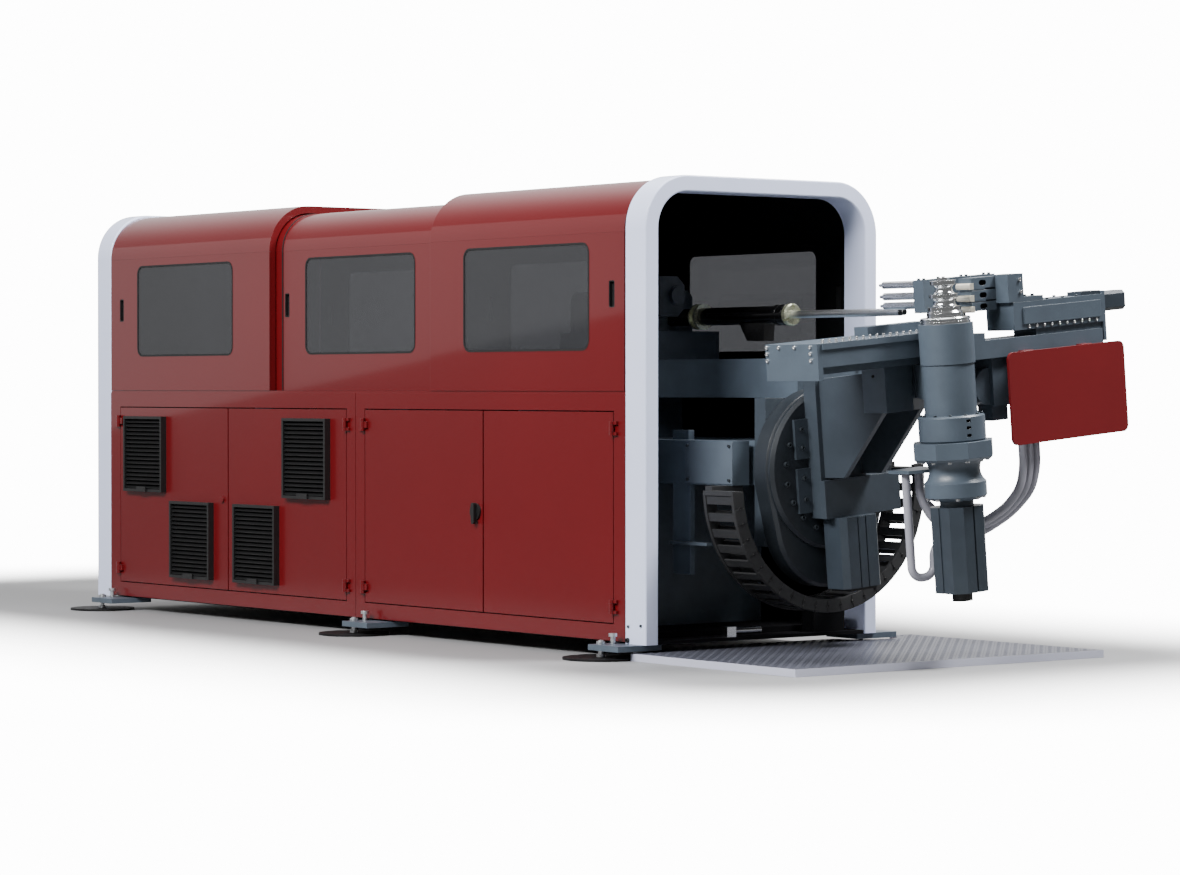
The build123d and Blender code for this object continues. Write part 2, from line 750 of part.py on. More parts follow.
# Head bracket: base block with two side strips, two gussets and the tip block
disc_front = slide_gap + disc_thickness
base_bottom = housing_bottom
base_top = 390.0
lower_motor_depth = 150.0
lower_motor_width = 210.0
lower_motor_x = 112.0
strip_width = 75.0
strip_thickness = 14.0
gusset_outline = ((base_front, base_top), (417, 418), (424, 355), (497, tip_bottom), (226, -26), (base_front, -28))
with BuildPart() as head_bracket:
    with BuildSketch(level(0, 0, base_bottom)):
        Polygon((disc_front, base_near), (base_front, base_near), (base_front, base_far),
                (disc_front, base_far), align=None)
    extrude(amount=base_top - base_bottom)
    for strip_bottom, strip_top in ((57, 227), (-174, 17)):
        with BuildSketch(level(0, 0, strip_bottom)):
            Polygon((disc_front, base_near - strip_width), (disc_front + strip_thickness, base_near - strip_width),
                    (disc_front + strip_thickness, base_near), (disc_front, base_near), align=None)
        extrude(amount=strip_top - strip_bottom)
    for gusset_near in (-base_far, base_far - gusset_thickness):
        with BuildSketch(facing_near(0, gusset_near + gusset_thickness, 0)):
            Polygon(*gusset_outline, align=None)
        extrude(amount=gusset_thickness)
    with BuildSketch(level(0, 0, tip_bottom)):
        Polygon((405, -140), (tip_front, -140), (tip_front, 10), (500, 125), (405, 125), align=None)
    extrude(amount=tip_top - tip_bottom)
save(head_bracket.part, "head_bracket")

with BuildPart() as lower_housing:
    with BuildSketch(level(0, 0, housing_bottom)):
        Polygon((base_front, -150), (housing_front, -150), (housing_front, 275), (disc_front + 8, 275),
                (disc_front + 8, base_far), (base_front, base_far), align=None)
    extrude(amount=housing_top - housing_bottom)
    top_front = lower_housing.edges().filter_by(Axis.Y, tolerance=10).group_by(Axis.Z)[-1].sort_by(Axis.X)[-1]
    chamfer(top_front, 24)
save(lower_housing.part, "lower_housing")

with BuildPart() as lower_motor:
    with BuildSketch(level(lower_motor_x, 0, motor_bottom)):
        Rectangle(lower_motor_depth, lower_motor_width)
        chamfer(vertices(), 24)
        with Locations((lower_motor_depth / 2, -22), (lower_motor_depth / 2, 22)):
            Rectangle(10, 7, mode=Mode.SUBTRACT)
    extrude(amount=housing_bottom - motor_bottom)
    with BuildSketch(level(lower_motor_x, 0, motor_bottom - 12)):
        Rectangle(lower_motor_depth - 30, lower_motor_width - 60)
    extrude(amount=12)
save(lower_motor.part, "lower_motor")

# Cross beam: body with its top plate, a rail block on it, and two rails that seat it on the bracket
plate_step = 8.0
top_plate = 26.0
rail_block_height = 38.0
with BuildPart() as cross_beam:
    with BuildSketch(level(0, 0, cross_bottom)):
        Polygon((cross_rear, cross_near), (cross_front - plate_step, cross_near),
                (cross_front - plate_step, cross_far), (cross_rear, cross_far), align=None)
    extrude(amount=cross_top - cross_bottom)
    with BuildSketch(level(0, 0, cross_top - top_plate)):
        Polygon((cross_rear, cross_near), (cross_front, cross_near), (cross_front, cross_far),
                (cross_rear, cross_far), align=None)
    extrude(amount=top_plate)
    with BuildSketch(level(0, 0, cross_top + seat_gap)):
        Polygon((cross_rear + 70, -150), (cross_rear + 154, -150), (cross_rear + 154, 190), (cross_rear + 70, 190),
                align=None)
    extrude(amount=rail_block_height)
    for rail_middle in (450, 590):
        with BuildSketch(level(rail_middle, -160, tip_top)):
            Rectangle(44, 760)
        extrude(amount=cross_bottom - tip_top - seat_gap)
save(cross_beam.part, "cross_beam")

end_plate_thickness = 25.0
end_plate_bottom = 424.0
with BuildPart() as beam_end_plate:
    with BuildSketch(level(0, 0, end_plate_bottom)):
        with Locations(((cross_rear + cross_front) / 2, cross_near - end_plate_thickness / 2)):
            Rectangle(cross_front - cross_rear - 2 * plate_step, end_plate_thickness)
    extrude(amount=cross_top - end_plate_bottom)
save(beam_end_plate.part, "beam_end_plate")

# Bend spindle: housing with its flange and web, gearbox and motor, all on one axis
recess_angle = -13.0
with BuildPart() as spindle_housing:
    with BuildSketch(level(spindle_x, 0, flange_top)):
        Circle(spindle_radius)
    extrude(amount=arm_bottom - 7 - flange_top)
    with BuildSketch(level(spindle_x, 0, flange_bottom)):
        Circle(flange_radius)
    extrude(amount=flange_top - flange_bottom)
    chamfer(spindle_housing.edges().filter_by(GeomType.CIRCLE).sort_by(SortBy.RADIUS)[-2:], 7)
    for recess_level in (213, 185, 154):
        with BuildSketch(level(spindle_x, 0, recess_level - 6)):
            with PolarLocations(flange_radius, 1, recess_angle):
                Rectangle(12, 20)
        extrude(amount=12, mode=Mode.SUBTRACT)
    with BuildSketch(level(0, 0, 300)):
        Polygon((500, 30), (tip_front, 30), (650, -30), (spindle_x, -30), (spindle_x, 105), (500, 125), align=None)
        Polygon((400, -140), (tip_front, -140), (tip_front, 10), (500, 125), (400, 125), align=None,
                mode=Mode.SUBTRACT)
    extrude(amount=140)
    with BuildSketch(level(0, 0, 440)):
        with Locations((605, 60)):
            Rectangle(90, 60)
    extrude(amount=tip_top - 440)
save(spindle_housing.part, "spindle_housing")

hose_plate_level = 0.0
hose_plate_thickness = 14.0
waist_radius = 106.0
shoulder_radius = 120.0
neck_radius = 70.0
drum_top = -42.0
drum_bottom = -100.0
with BuildPart() as gearbox:
    with BuildSketch(level(spindle_x, 0, octagon_bottom)):
        RegularPolygon(octagon_radius, 8, major_radius=False, rotation=22.5)
    extrude(amount=flange_bottom - octagon_bottom)
    chamfer(gearbox.faces().sort_by(Axis.Z)[0].edges(), 10)
    with BuildSketch(Plane(origin=head.from_local_coords((spindle_x, 0, 0)), x_dir=head.x_dir, z_dir=-head.y_dir)):
        with BuildLine():
            waist = ThreePointArc((shoulder_radius, octagon_bottom), (waist_radius, 0), (gearbox_radius, drum_top))
            Polyline(waist @ 1, (gearbox_radius, drum_bottom), (gearbox_radius - 26, drum_bottom - 14),
                     (neck_radius, drum_bottom - 20), (neck_radius, gearbox_bottom), (0, gearbox_bottom),
                     (0, octagon_bottom), waist @ 0)
        make_face()
    revolve(axis=Axis(head.from_local_coords((spindle_x, 0, 0)), head.z_dir))
    with BuildSketch(level(0, 0, hose_plate_level)):
        Polygon((536, -145), (660, -145), (700, -60), (700, 30), (536, 30), align=None)
    extrude(amount=hose_plate_thickness)
save(gearbox.part, "gearbox")

groove_width = 9.0
groove_depth = 7.0
cap_radius = 42.0
cap_height = 38.0
with BuildPart() as bend_motor:
    with BuildSketch(level(spindle_x, 0, bend_motor_bottom)):
        Rectangle(bend_motor_side, bend_motor_side)
        chamfer(vertices(), 42)
        with Locations((bend_motor_side / 2, 0), (0, -bend_motor_side / 2), (0, bend_motor_side / 2)):
            Rectangle(2 * groove_depth, groove_width, mode=Mode.SUBTRACT)
    extrude(amount=gearbox_bottom - bend_motor_bottom)
    with BuildSketch(level(spindle_x, 0, bend_motor_bottom - cap_height)):
        Circle(cap_radius)
    extrude(amount=cap_height)
save(bend_motor.part, "bend_motor")

# Pressure die block behind the die stack, and the rods that push it
block_rear = 610.0
block_front = 671.0
block_top = 792.0
rod_levels = (688.0, 727.0, 775.0)
rod_length = 222.0
with BuildPart() as pressure_block:
    with BuildSketch(level(0, 0, 655)):
        Polygon((block_rear, -10), (block_front, -10), (block_front, 400), (block_rear, 400), align=None)
    extrude(amount=block_top - 655)
    with BuildSketch(level(0, 0, cross_top)):
        Polygon((block_rear - 30, 130), (block_front - 25, 130), (block_front - 25, 245),
                (block_rear - 30, 245), align=None)
    extrude(amount=655 - cross_top)
save(pressure_block.part, "pressure_block")

with BuildPart() as pressure_rods:
    for z in rod_levels:
        with BuildSketch(Plane(origin=head.from_local_coords((block_rear, 8, z)), x_dir=head.x_dir,
                               z_dir=-head.y_dir)):
            Polygon((-rod_length, 0), (-rod_length, 7), (17 - rod_length, 7), (25 - rod_length, 16), (0, 16), (0, 0),
                    align=None)
        revolve(axis=Axis(head.from_local_coords((block_rear, 8, z)), head.x_dir))
save(pressure_rods.part, "pressure_rods")

# Bend arm with its hub
with BuildPart() as bend_arm:
    with BuildSketch(level(spindle_x, 0, arm_bottom - 7 + slide_gap)):
        Circle(hub_radius)
    extrude(amount=hub_top - arm_bottom + 7 - slide_gap)
    with BuildSketch(level(0, 0, arm_bottom)):
        with Locations((spindle_x, arm_reach / 2)):
            Rectangle(arm_width, arm_reach)
    extrude(amount=arm_top - arm_bottom)
    with BuildSketch(level(0, 0, arm_top)):
        with Locations((spindle_x, 80)):
            Rectangle(arm_width, 134)
    extrude(amount=32)
save(bend_arm.part, "bend_arm")

# Die stack: a base ring and three grooved dies, turned on the spindle axis
ring_top = 637.0
seat_top = 655.0
die_ring = 104.0
die_seat = 75.0
die_flanges = ((664.0, 680.0, 69.0), (718.0, 732.0, 61.0), (771.0, 787.0, 54.0))
groove_waists = ((699.0, 45.0), (751.5, 36.0))
with BuildPart() as die_stack:
    with BuildSketch(Plane(origin=head.from_local_coords((spindle_x, 0, 0)), x_dir=head.x_dir, z_dir=-head.y_dir)):
        with BuildLine():
            lower, middle, upper = die_flanges
            Polyline((0, upper[1]), (0, hub_top), (die_ring, hub_top), (die_ring, ring_top - 4), (die_ring - 4, ring_top),
                     (die_seat, ring_top), (die_seat, seat_top), (lower[2], lower[0]), (lower[2], lower[1]))
            ThreePointArc((lower[2], lower[1]), (groove_waists[0][1], groove_waists[0][0]), (middle[2], middle[0]))
            Line((middle[2], middle[0]), (middle[2], middle[1]))
            ThreePointArc((middle[2], middle[1]), (groove_waists[1][1], groove_waists[1][0]), (upper[2], upper[0]))
            Polyline((upper[2], upper[0]), (upper[2], upper[1]), (0, upper[1]))
        make_face()
        with Locations((die_ring, hub_top + 13)):
            Rectangle(7, 6, mode=Mode.SUBTRACT)
    revolve(axis=Axis(head.from_local_coords((spindle_x, 0, 0)), head.z_dir))
    with BuildSketch(level(spindle_x, 0, die_flanges[2][1])):
        RegularPolygon(26, 6)
    extrude(amount=12)
save(die_stack.part, "die_stack")

# Clamp slide on the arm, with its end plate and motor
slide_rear = 692.0
arm_front = spindle_x + arm_width / 2
with BuildPart() as clamp_slide:
    with BuildSketch(level(0, 0, arm_top)):
        Polygon((slide_rear + 20, 450), (arm_front - 10, 450), (arm_front - 10, slide_far), (slide_rear + 20, slide_far),
                align=None)
    extrude(amount=slide_bottom - arm_top)
    with BuildSketch(level(0, 0, slide_bottom)):
        Polygon((slide_rear, slide_near), (arm_front, slide_near), (arm_front, slide_far), (slide_rear, slide_far),
                align=None)
    extrude(amount=slide_top - slide_bottom)
    with BuildSketch(facing_front(arm_front)):
        Polygon((372, 578), (820, 578), (820, 648), (372, 648), align=None)
    extrude(amount=7)
    with BuildSketch(level(0, 0, 474)):
        Polygon((slide_rear + 8, slide_far), (arm_front, slide_far), (arm_front, slide_far + 16),
                (slide_rear + 8, slide_far + 16), align=None)
    extrude(amount=211)
save(clamp_slide.part, "clamp_slide")

gear_unit_near = 726.0
motor_level = 638.0
slide_motor_x = arm_front - 52.0
with BuildPart() as slide_motor:
    with BuildSketch(level(0, 0, slide_top)):
        with Locations((slide_motor_x, (gear_unit_near + slide_far) / 2)):
            Rectangle(84, slide_far - gear_unit_near)
    extrude(amount=16)
    with BuildSketch(Plane(origin=head.from_local_coords((slide_motor_x, slide_far + 16, motor_level)),
                           x_dir=head.x_dir, z_dir=head.y_dir)):
        Rectangle(84, 84)
        chamfer(vertices(), 14)
    extrude(amount=132)
save(slide_motor.part, "slide_motor")

# Clamp: tall jaw holder with a step and three bars, and a rounded clamp die on each bar
holder_near = 295.0
holder_far = 382.0
holder_top = 790.0
holder_rear = slide_rear + 26.0
step_far = 492.0
step_top = 692.0
bar_near = 156.0
bar_rear = 706.0
bar_front = spindle_x
bar_levels = ((647.0, 684.0), (691.0, 733.0), (741.0, 786.0))
slot_y = 222.0
tip_near = 132.0
tip_height = 26.0
tip_middles = (656.0, 702.0, 752.0)
with BuildPart() as jaw_holder:
    with BuildSketch(facing_near(0, holder_near, 0)):
        Polygon((holder_rear, slide_top + slide_gap), (arm_front, slide_top + slide_gap), (arm_front, holder_top),
                (holder_rear + 24, holder_top), (holder_rear, holder_top - 24), align=None)
    extrude(amount=holder_near - holder_far)
    with BuildSketch(level(0, 0, slide_top + slide_gap)):
        Polygon((holder_rear, holder_far), (arm_front, holder_far), (arm_front, step_far),
                (holder_rear, step_far), align=None)
    extrude(amount=step_top - slide_top - slide_gap)
    for bottom, top in bar_levels:
        with BuildSketch(level((bar_rear + bar_front) / 2, (bar_near + holder_near) / 2, bottom)):
            Rectangle(bar_front - bar_rear, holder_near - bar_near)
        extrude(amount=top - bottom)
        with BuildSketch(facing_front(bar_front - 14, slot_y, (bottom + top) / 2)):
            SlotOverall(40, 22)
        extrude(amount=14, mode=Mode.SUBTRACT)
save(jaw_holder.part, "jaw_holder")

with BuildPart() as clamp_dies:
    for middle in tip_middles:
        with BuildSketch(facing_front(bar_rear + 8, 0, middle)):
            with Locations(((tip_near + bar_near - seat_gap) / 2, 0)):
                Rectangle(bar_near - seat_gap - tip_near, tip_height)
            fillet(vertices().group_by(Axis.X)[0], tip_height / 2 - 2)
        extrude(amount=bar_front - bar_rear + 8)
save(clamp_dies.part, "clamp_dies")

# Gearbox under the arm, with a round bearing cover
gear_near = 200.0
gear_far = 318.0
gear_bottom = 252.0
with BuildPart() as arm_gearbox:
    with BuildSketch(level(0, 0, gear_bottom)):
        Polygon((706, gear_near), (830, gear_near), (830, gear_far), (706, gear_far), align=None)
    extrude(amount=arm_bottom - gear_bottom)
    with BuildSketch(facing_front(726, 192, 335)):
        Circle(76)
    extrude(amount=84)
    with BuildSketch(level(0, 0, 190)):
        Polygon((726, gear_near + 4), (812, gear_near + 4), (812, gear_far - 26), (726, gear_far - 26), align=None)
    extrude(amount=gear_bottom - 190)
save(arm_gearbox.part, "arm_gearbox")

# Panel at the outside of the arm, on two brackets
with BuildPart() as sign_panel:
    with BuildSketch(facing_front(panel_x, *panel_middle)):
        RectangleRounded(*panel_size, 30)
    extrude(amount=panel_thickness)
    for y in (360, 700):
        with BuildSketch(level(0, 0, arm_bottom)):
            with Locations(((arm_front + panel_x) / 2, y)):
                Rectangle(panel_x - arm_front, 60)
        extrude(amount=20)
save(sign_panel.part, "sign_panel")

# Hoses: three loops from the plate beside the gearbox round the motor, and their risers behind the panel
outer_route = [
    (596, -104, hose_plate_level), (596, -104, -440), (612, 5, -440), (614, 8, -300), (640, 150, -295),
    (677, 236, -278), (765, 320, -208), (826, 388, -113), (838, 414, -10), (838, 414, riser_bottom - seat_gap),
]
middle_route = [
    (562, 2, hose_plate_level), (562, 2, -110), (600, 120, -245), (705, 212, -255), (785, 290, -190),
    (832, 350, -105), (838, 376, -10), (838, 376, riser_bottom - seat_gap),
]
inner_route = [
    (596, -32, hose_plate_level), (596, -32, -110), (622, 15, -215), (655, 110, -250), (733, 188, -235),
    (805, 260, -172), (838, 312, -97), (838, 338, -10), (838, 338, riser_bottom - seat_gap),
]
hose_routes = (outer_route, middle_route, inner_route)


def corner_radii(points):
    """As large a bend radius at each corner as its two runs allow."""
    radii = []
    for a, b, c in zip(points, points[1:], points[2:]):
        first = Vector(*b) - Vector(*a)
        second = Vector(*c) - Vector(*b)
        half_turn = radians(first.get_angle(second)) / 2
        radii.append(0.45 * min(first.length, second.length) * cos(half_turn) / sin(half_turn))
    return radii


with BuildPart() as hose_loops:
    for route in hose_routes:
        radii = corner_radii(route)
        print("hose bend radii, mm:", [round(r) for r in radii])
        points = [head.from_local_coords(p) for p in route]
        with BuildLine() as path:
            FilletPolyline(*points, radius=radii)
        with BuildSketch(Plane(origin=path.line @ 0, z_dir=path.line % 0)):
            Circle(hose_radius)
        sweep(path=path.line)
        length = sum(edge.length for edge in path.line.edges())
        print("hose length, mm:", round(length))
save(hose_loops.part, "hose_loops")

with BuildPart() as hose_risers:
    for route in hose_routes:
        with BuildSketch(level(route[-1][0], route[-1][1], riser_bottom)):
            Circle(hose_radius)
        extrude(amount=arm_bottom - riser_bottom)
save(hose_risers.part, "hose_risers")
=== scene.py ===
from math import cos, pi, radians, sin

import bmesh
import bpy
from mathutils import Matrix, Vector


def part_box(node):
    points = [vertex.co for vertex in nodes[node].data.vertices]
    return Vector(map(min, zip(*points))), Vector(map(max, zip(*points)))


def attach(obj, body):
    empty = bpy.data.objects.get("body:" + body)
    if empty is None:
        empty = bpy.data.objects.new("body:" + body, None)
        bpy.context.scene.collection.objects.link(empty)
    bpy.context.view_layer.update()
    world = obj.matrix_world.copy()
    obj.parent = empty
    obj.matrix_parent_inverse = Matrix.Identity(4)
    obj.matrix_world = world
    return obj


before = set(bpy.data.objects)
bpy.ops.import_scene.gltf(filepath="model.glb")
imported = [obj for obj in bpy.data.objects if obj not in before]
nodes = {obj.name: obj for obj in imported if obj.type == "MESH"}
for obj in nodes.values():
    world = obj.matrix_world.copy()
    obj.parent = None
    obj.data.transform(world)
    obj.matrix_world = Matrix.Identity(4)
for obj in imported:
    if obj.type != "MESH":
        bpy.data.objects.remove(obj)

for leftover in ("Cube", "Light", "Camera"):
    if leftover in bpy.data.objects:
        bpy.data.objects.remove(bpy.data.objects[leftover])

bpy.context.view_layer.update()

# Places shared by the pieces, in metres
FRONT = 2.334
HALF_WIDTH = 0.655
NEAR = -HALF_WIDTH
HEAD_TILT = radians(5)
HEAD_PLACE = Vector((FRONT + 0.314, 0.1, 0.812))
HEAD_TURN = Matrix.Rotation(HEAD_TILT, 3, "X")
SPINDLE_X = 0.781
BED_COVER_FACE = -0.3005
SHELF_BOTTOM, SHELF_TOP = 0.477, 0.493

# Places on the head, in its own tilted frame
BEAM_TOP = 0.574
END_PLATE_FACE = -0.587
DISC_FACE = 0.0265
DISC_RADIUS = 0.27
BLOCK_TOP = 0.792
SLIDE_FACE = 0.856
BEND_MOTOR_CAP = -0.478
LOWER_MOTOR_CAP = -0.506
RECESS_RADII = (0.128, 0.1368)
RECESS_HEIGHTS = (0.146, 0.220)
SLOT_LOW = (0.7665, 0.195, 0.66)
SLOT_HIGH = (0.7805, 0.248, 0.77)

# Hoods: how far each one is set in, and the section they share
HOOD_INSETS = {"rear": 0.0, "middle": 0.042, "front": 0.0}
HOOD_FOOT = 1.1425
HOOD_MIDDLE = 1.45
HOOD_TOP = 2.052
HOOD_RADIUS = 0.230

# Window seals: each outline's growth over the window and its corner radius, outer one first
SEAL_OUTLINES = ((0.004, 0.047), (-0.014, 0.038))
SEAL_PROUD = 0.0012
SEAL_DEPTH = 0.0105

# Strips on the ends of the hoods
FLANGE = {"thickness": 0.0138, "inset": 0.0075, "depth": 0.0285}
OVERLAP_SEAL = {"thickness": 0.009, "inset": 0.0402, "depth": 0.0025}

# Slots for the hands: their places along each hood, and the cup behind each (width, height, corner radius)
GRIPS = {"rear": (-2.075,), "middle": (-0.542, 0.708), "front": (2.099,)}
GRIP_HEIGHT = 1.558
GRIP_OUTSIDE = (0.0398, 0.1158, 0.0079)
GRIP_INSIDE = (0.032, 0.108, 0.005)
GRIP_GAP = 0.0005
GRIP_DEPTH = 0.018
GRIP_BACK = 0.002
GRIP_BACK_HALF_WIDTH = 0.0195
GRIP_BACK_HALF_HEIGHT = 0.0575

# Filter frames of the doors: the lower left corner of each, and the room inside a frame
FILTER_SPOTS = {1: ((-2.010, 0.621), (-1.547, 0.192)), 2: ((-0.481, 0.621), (-0.935, 0.192))}
FILTER_START = (0.0145, 0.0145)
FILTER_END = (0.3705, 0.3735)
FILTER_FACES = (NEAR + 0.002, NEAR + 0.02)

# Energy chain: its middle in Y and Z, its links, and half a link plate by radius and share of a link
CHAIN_MIDDLE = (0.12, 0.736)
CHAIN_LINKS = 24
CHAIN_START = radians(182)
CHAIN_PITCH = radians(188) / CHAIN_LINKS
CHAIN_NEAR_FACE = FRONT + 0.3
CHAIN_FAR_FACE = FRONT + 0.1
PIN_RADIUS = 0.516
LINK_CORNERS = ((0.544, 0.40), (0.538, 0.47), (0.494, 0.47), (0.488, 0.40))
LINK_LIFTS = (0.0015, 0.003)
LINK_SUNK = 0.002

# Tread mat: its bare rim, and the clear ring round the two feet that stand in it
MAT_RIM = 0.03
FEET = [Vector((2.134, side * 0.74)) for side in (-1, 1)]
FOOT_ROOM = 0.19


def on_head(x, y, z):
    """A place given in the head's own tilted frame."""
    return HEAD_PLACE + HEAD_TURN @ Vector((x, y, z))


def head_way(x, y, z):
    """A direction given in the head's own tilted frame."""
    return HEAD_TURN @ Vector((x, y, z))


def from_head(point):
    """The place of a point in the head's own tilted frame."""
    return HEAD_TURN.transposed() @ (point - HEAD_PLACE)


# Materials
NOISE_RANGE = (0.3, 0.7)
ROUGHNESS_SPREAD = 0.12
COAT_ROUGHNESS = 0.05
GRAIN_STRENGTH = 0.35
PANE_SHADES = ((0.044, 0.045, 0.049), (0.052, 0.053, 0.058))
NEAR_PANE_LIGHT = (0.80, 0.81, 0.83)
FAR_PANE_LIGHT = (0.145, 0.147, 0.153)


def shader(name):
    """A new material with its node tree and its main shader."""
    material = bpy.data.materials.new(name)
    material.use_nodes = True
    tree = material.node_tree
    return material, tree, tree.nodes["Principled BSDF"]


def object_noise(tree, scale, detail=3.0, stretch=None):
    """Noise laid over the piece by its own coordinates."""
    coords = tree.nodes.new("ShaderNodeTexCoord")
    noise = tree.nodes.new("ShaderNodeTexNoise")
    noise.inputs["Scale"].default_value = scale
    noise.inputs["Detail"].default_value = detail
    source = coords.outputs["Object"]
    if stretch:
        mapping = tree.nodes.new("ShaderNodeMapping")
        mapping.inputs["Scale"].default_value = stretch
        tree.links.new(source, mapping.inputs["Vector"])
        source = mapping.outputs["Vector"]
    tree.links.new(source, noise.inputs["Vector"])
    return noise.outputs["Fac"]


def spread(tree, value, low, high):
    """Maps noise onto a narrow range of values."""
    ranger = tree.nodes.new("ShaderNodeMapRange")
    ranger.inputs["From Min"].default_value = NOISE_RANGE[0]
    ranger.inputs["From Max"].default_value = NOISE_RANGE[1]
    ranger.inputs["To Min"].default_value = low
    ranger.inputs["To Max"].default_value = high
    tree.links.new(value, ranger.inputs["Value"])
    return ranger.outputs["Result"]


def tone(tree, value, dark, light):
    """Blends two shades of one colour by a value."""
    mix = tree.nodes.new("ShaderNodeMix")
    mix.data_type = "RGBA"
    mix.inputs["A"].default_value = (*dark, 1)
    mix.inputs["B"].default_value = (*light, 1)
    tree.links.new(value, mix.inputs["Factor"])
    return mix.outputs["Result"]


def surface(name, colour, roughness, metallic=0.0, coat=0.0, patch=3.0, grain=450.0, depth=0.0004,
            shift=0.07, edge=0.002, stretch=None, specular=0.5):
    """Paint, plastic or metal: a faint drift of tone, a fine grain and softened edges."""
    material, tree, bsdf = shader(name)
    drift = object_noise(tree, patch)
    fine = object_noise(tree, grain, 2.0, stretch)
    dark = [c * (1 - shift) for c in colour]
    light = [min(1.0, c * (1 + shift)) for c in colour]
    tree.links.new(tone(tree, spread(tree, drift, 0, 1), dark, light), bsdf.inputs["Base Color"])
    smooth, rough = roughness * (1 - ROUGHNESS_SPREAD), min(1.0, roughness * (1 + ROUGHNESS_SPREAD))
    tree.links.new(spread(tree, fine, smooth, rough), bsdf.inputs["Roughness"])
    bsdf.inputs["Metallic"].default_value = metallic
    bsdf.inputs["Specular IOR Level"].default_value = specular
    bsdf.inputs["Coat Weight"].default_value = coat
    bsdf.inputs["Coat Roughness"].default_value = COAT_ROUGHNESS
    bump = tree.nodes.new("ShaderNodeBump")
    bump.inputs["Strength"].default_value = GRAIN_STRENGTH
    bump.inputs["Distance"].default_value = depth
    tree.links.new(fine, bump.inputs["Height"])
    if edge:
        bevel = tree.nodes.new("ShaderNodeBevel")
        bevel.samples = 4
        bevel.inputs["Radius"].default_value = edge
        tree.links.new(bevel.outputs["Normal"], bump.inputs["Normal"])
    tree.links.new(bump.outputs["Normal"], bsdf.inputs["Normal"])
    return material


def math_node(tree, operation, *values):
    """A math node with linked or plain inputs."""
    node = tree.nodes.new("ShaderNodeMath")
    node.operation = operation
    for number, value in enumerate(values):
        if isinstance(value, (int, float)):
            node.inputs[number].default_value = value
        else:
            tree.links.new(value, node.inputs[number])
    return node.outputs["Value"]


def tinted_pane(name):
    """Dark tinted sheet with a glossy face; the far panes let less light through than the near ones."""
    material, tree, bsdf = shader(name)
    haze = spread(tree, object_noise(tree, 1.5), 0, 1)
    tree.links.new(tone(tree, haze, *PANE_SHADES), bsdf.inputs["Base Color"])
    tree.links.new(spread(tree, object_noise(tree, 60.0), 0.05, 0.09), bsdf.inputs["Roughness"])
    through = tree.nodes.new("ShaderNodeBsdfTransparent")
    coords = tree.nodes.new("ShaderNodeTexCoord")
    split = tree.nodes.new("ShaderNodeSeparateXYZ")
    tree.links.new(coords.outputs["Object"], split.inputs["Vector"])
    far = math_node(tree, "GREATER_THAN", split.outputs["Y"], 0.0)
    tree.links.new(tone(tree, far, NEAR_PANE_LIGHT, FAR_PANE_LIGHT), through.inputs["Color"])
    mix = tree.nodes.new("ShaderNodeMixShader")
    mix.inputs["Fac"].default_value = 0.5
    tree.links.new(bsdf.outputs["BSDF"], mix.inputs[1])
    tree.links.new(through.outputs["BSDF"], mix.inputs[2])
    tree.links.new(mix.outputs["Shader"], tree.nodes["Material Output"].inputs["Surface"])
    return material


red_paint = surface("red_paint", (0.112, 0.0036, 0.0054), 0.34, coat=0.6, patch=1.2, shift=0.04,
                    depth=0.00005, specular=0.25)
red_panel = surface("red_panel", (0.170, 0.0080, 0.0105), 0.34, coat=0.3, patch=4.0, shift=0.04)
silver_paint = surface("silver_paint", (0.70, 0.76, 1.0), 0.34, coat=0.25, grain=900.0, shift=0.02)
machine_grey = surface("machine_grey", (0.075, 0.098, 0.125), 0.40, patch=9.0, grain=300.0, shift=0.08)
# Painted shade: darker copies of the machine grey for the swivel unit, the head's bracket and the lower
# housing under the head, darkest on the disc and its casing
disc_grey = surface("disc_grey", (0.013, 0.017, 0.022), 0.42, patch=9.0, grain=300.0, shift=0.08)
deep_grey = surface("deep_grey", (0.036, 0.047, 0.060), 0.42, patch=9.0, grain=300.0, shift=0.08)
motor_grey = surface("motor_grey", (0.030, 0.040, 0.052), 0.34, patch=12.0, grain=300.0, shift=0.08)
# Painted light: a slightly lighter copy of the machine grey for the bed's cover plate and the cable post's
# shelf
cover_grey = surface("cover_grey", (0.080, 0.100, 0.124), 0.38, patch=9.0, grain=300.0, shift=0.05)
# Painted shade: a near-black finish for the insides of the housing and hoods, the base frame's pan, the
# filter mats, the spindle's recesses and the jaw holder's slots, where shade falls
inside_black = surface("inside_black", (0.004, 0.004, 0.005), 0.7, patch=2.0, shift=0.2, edge=0, specular=0.1)
vent_black = surface("vent_black", (0.007, 0.007, 0.0075), 0.45, patch=8.0, edge=0.001)
rubber_black = surface("rubber_black", (0.004, 0.004, 0.0045), 0.6, patch=8.0, edge=0)
plate_black = surface("plate_black", (0.005, 0.005, 0.0055), 0.6, patch=8.0, specular=0.2)
chain_black = surface("chain_black", (0.018, 0.0185, 0.0195), 0.5, patch=12.0)
link_black = surface("link_black", (0.010, 0.010, 0.011), 0.45, patch=12.0)
barrel_black = surface("barrel_black", (0.004, 0.004, 0.0045), 0.18, patch=8.0, coat=0.6)
bright_steel = surface("bright_steel", (0.82, 0.83, 0.84), 0.16, metallic=1.0, patch=14.0, grain=260.0,
                       stretch=(1, 1, 14), edge=0.001)
jaw_tip_steel = surface("jaw_tip_steel", (0.92, 0.87, 0.74), 0.34, metallic=0.55, patch=40.0, edge=0.001)
tube_steel = surface("tube_steel", (0.80, 0.81, 0.83), 0.30, metallic=1.0, patch=14.0, grain=200.0,
                     stretch=(14, 1, 1), edge=0)
ring_metal = surface("ring_metal", (0.60, 0.62, 0.45), 0.26, metallic=0.85, patch=20.0, edge=0.001)
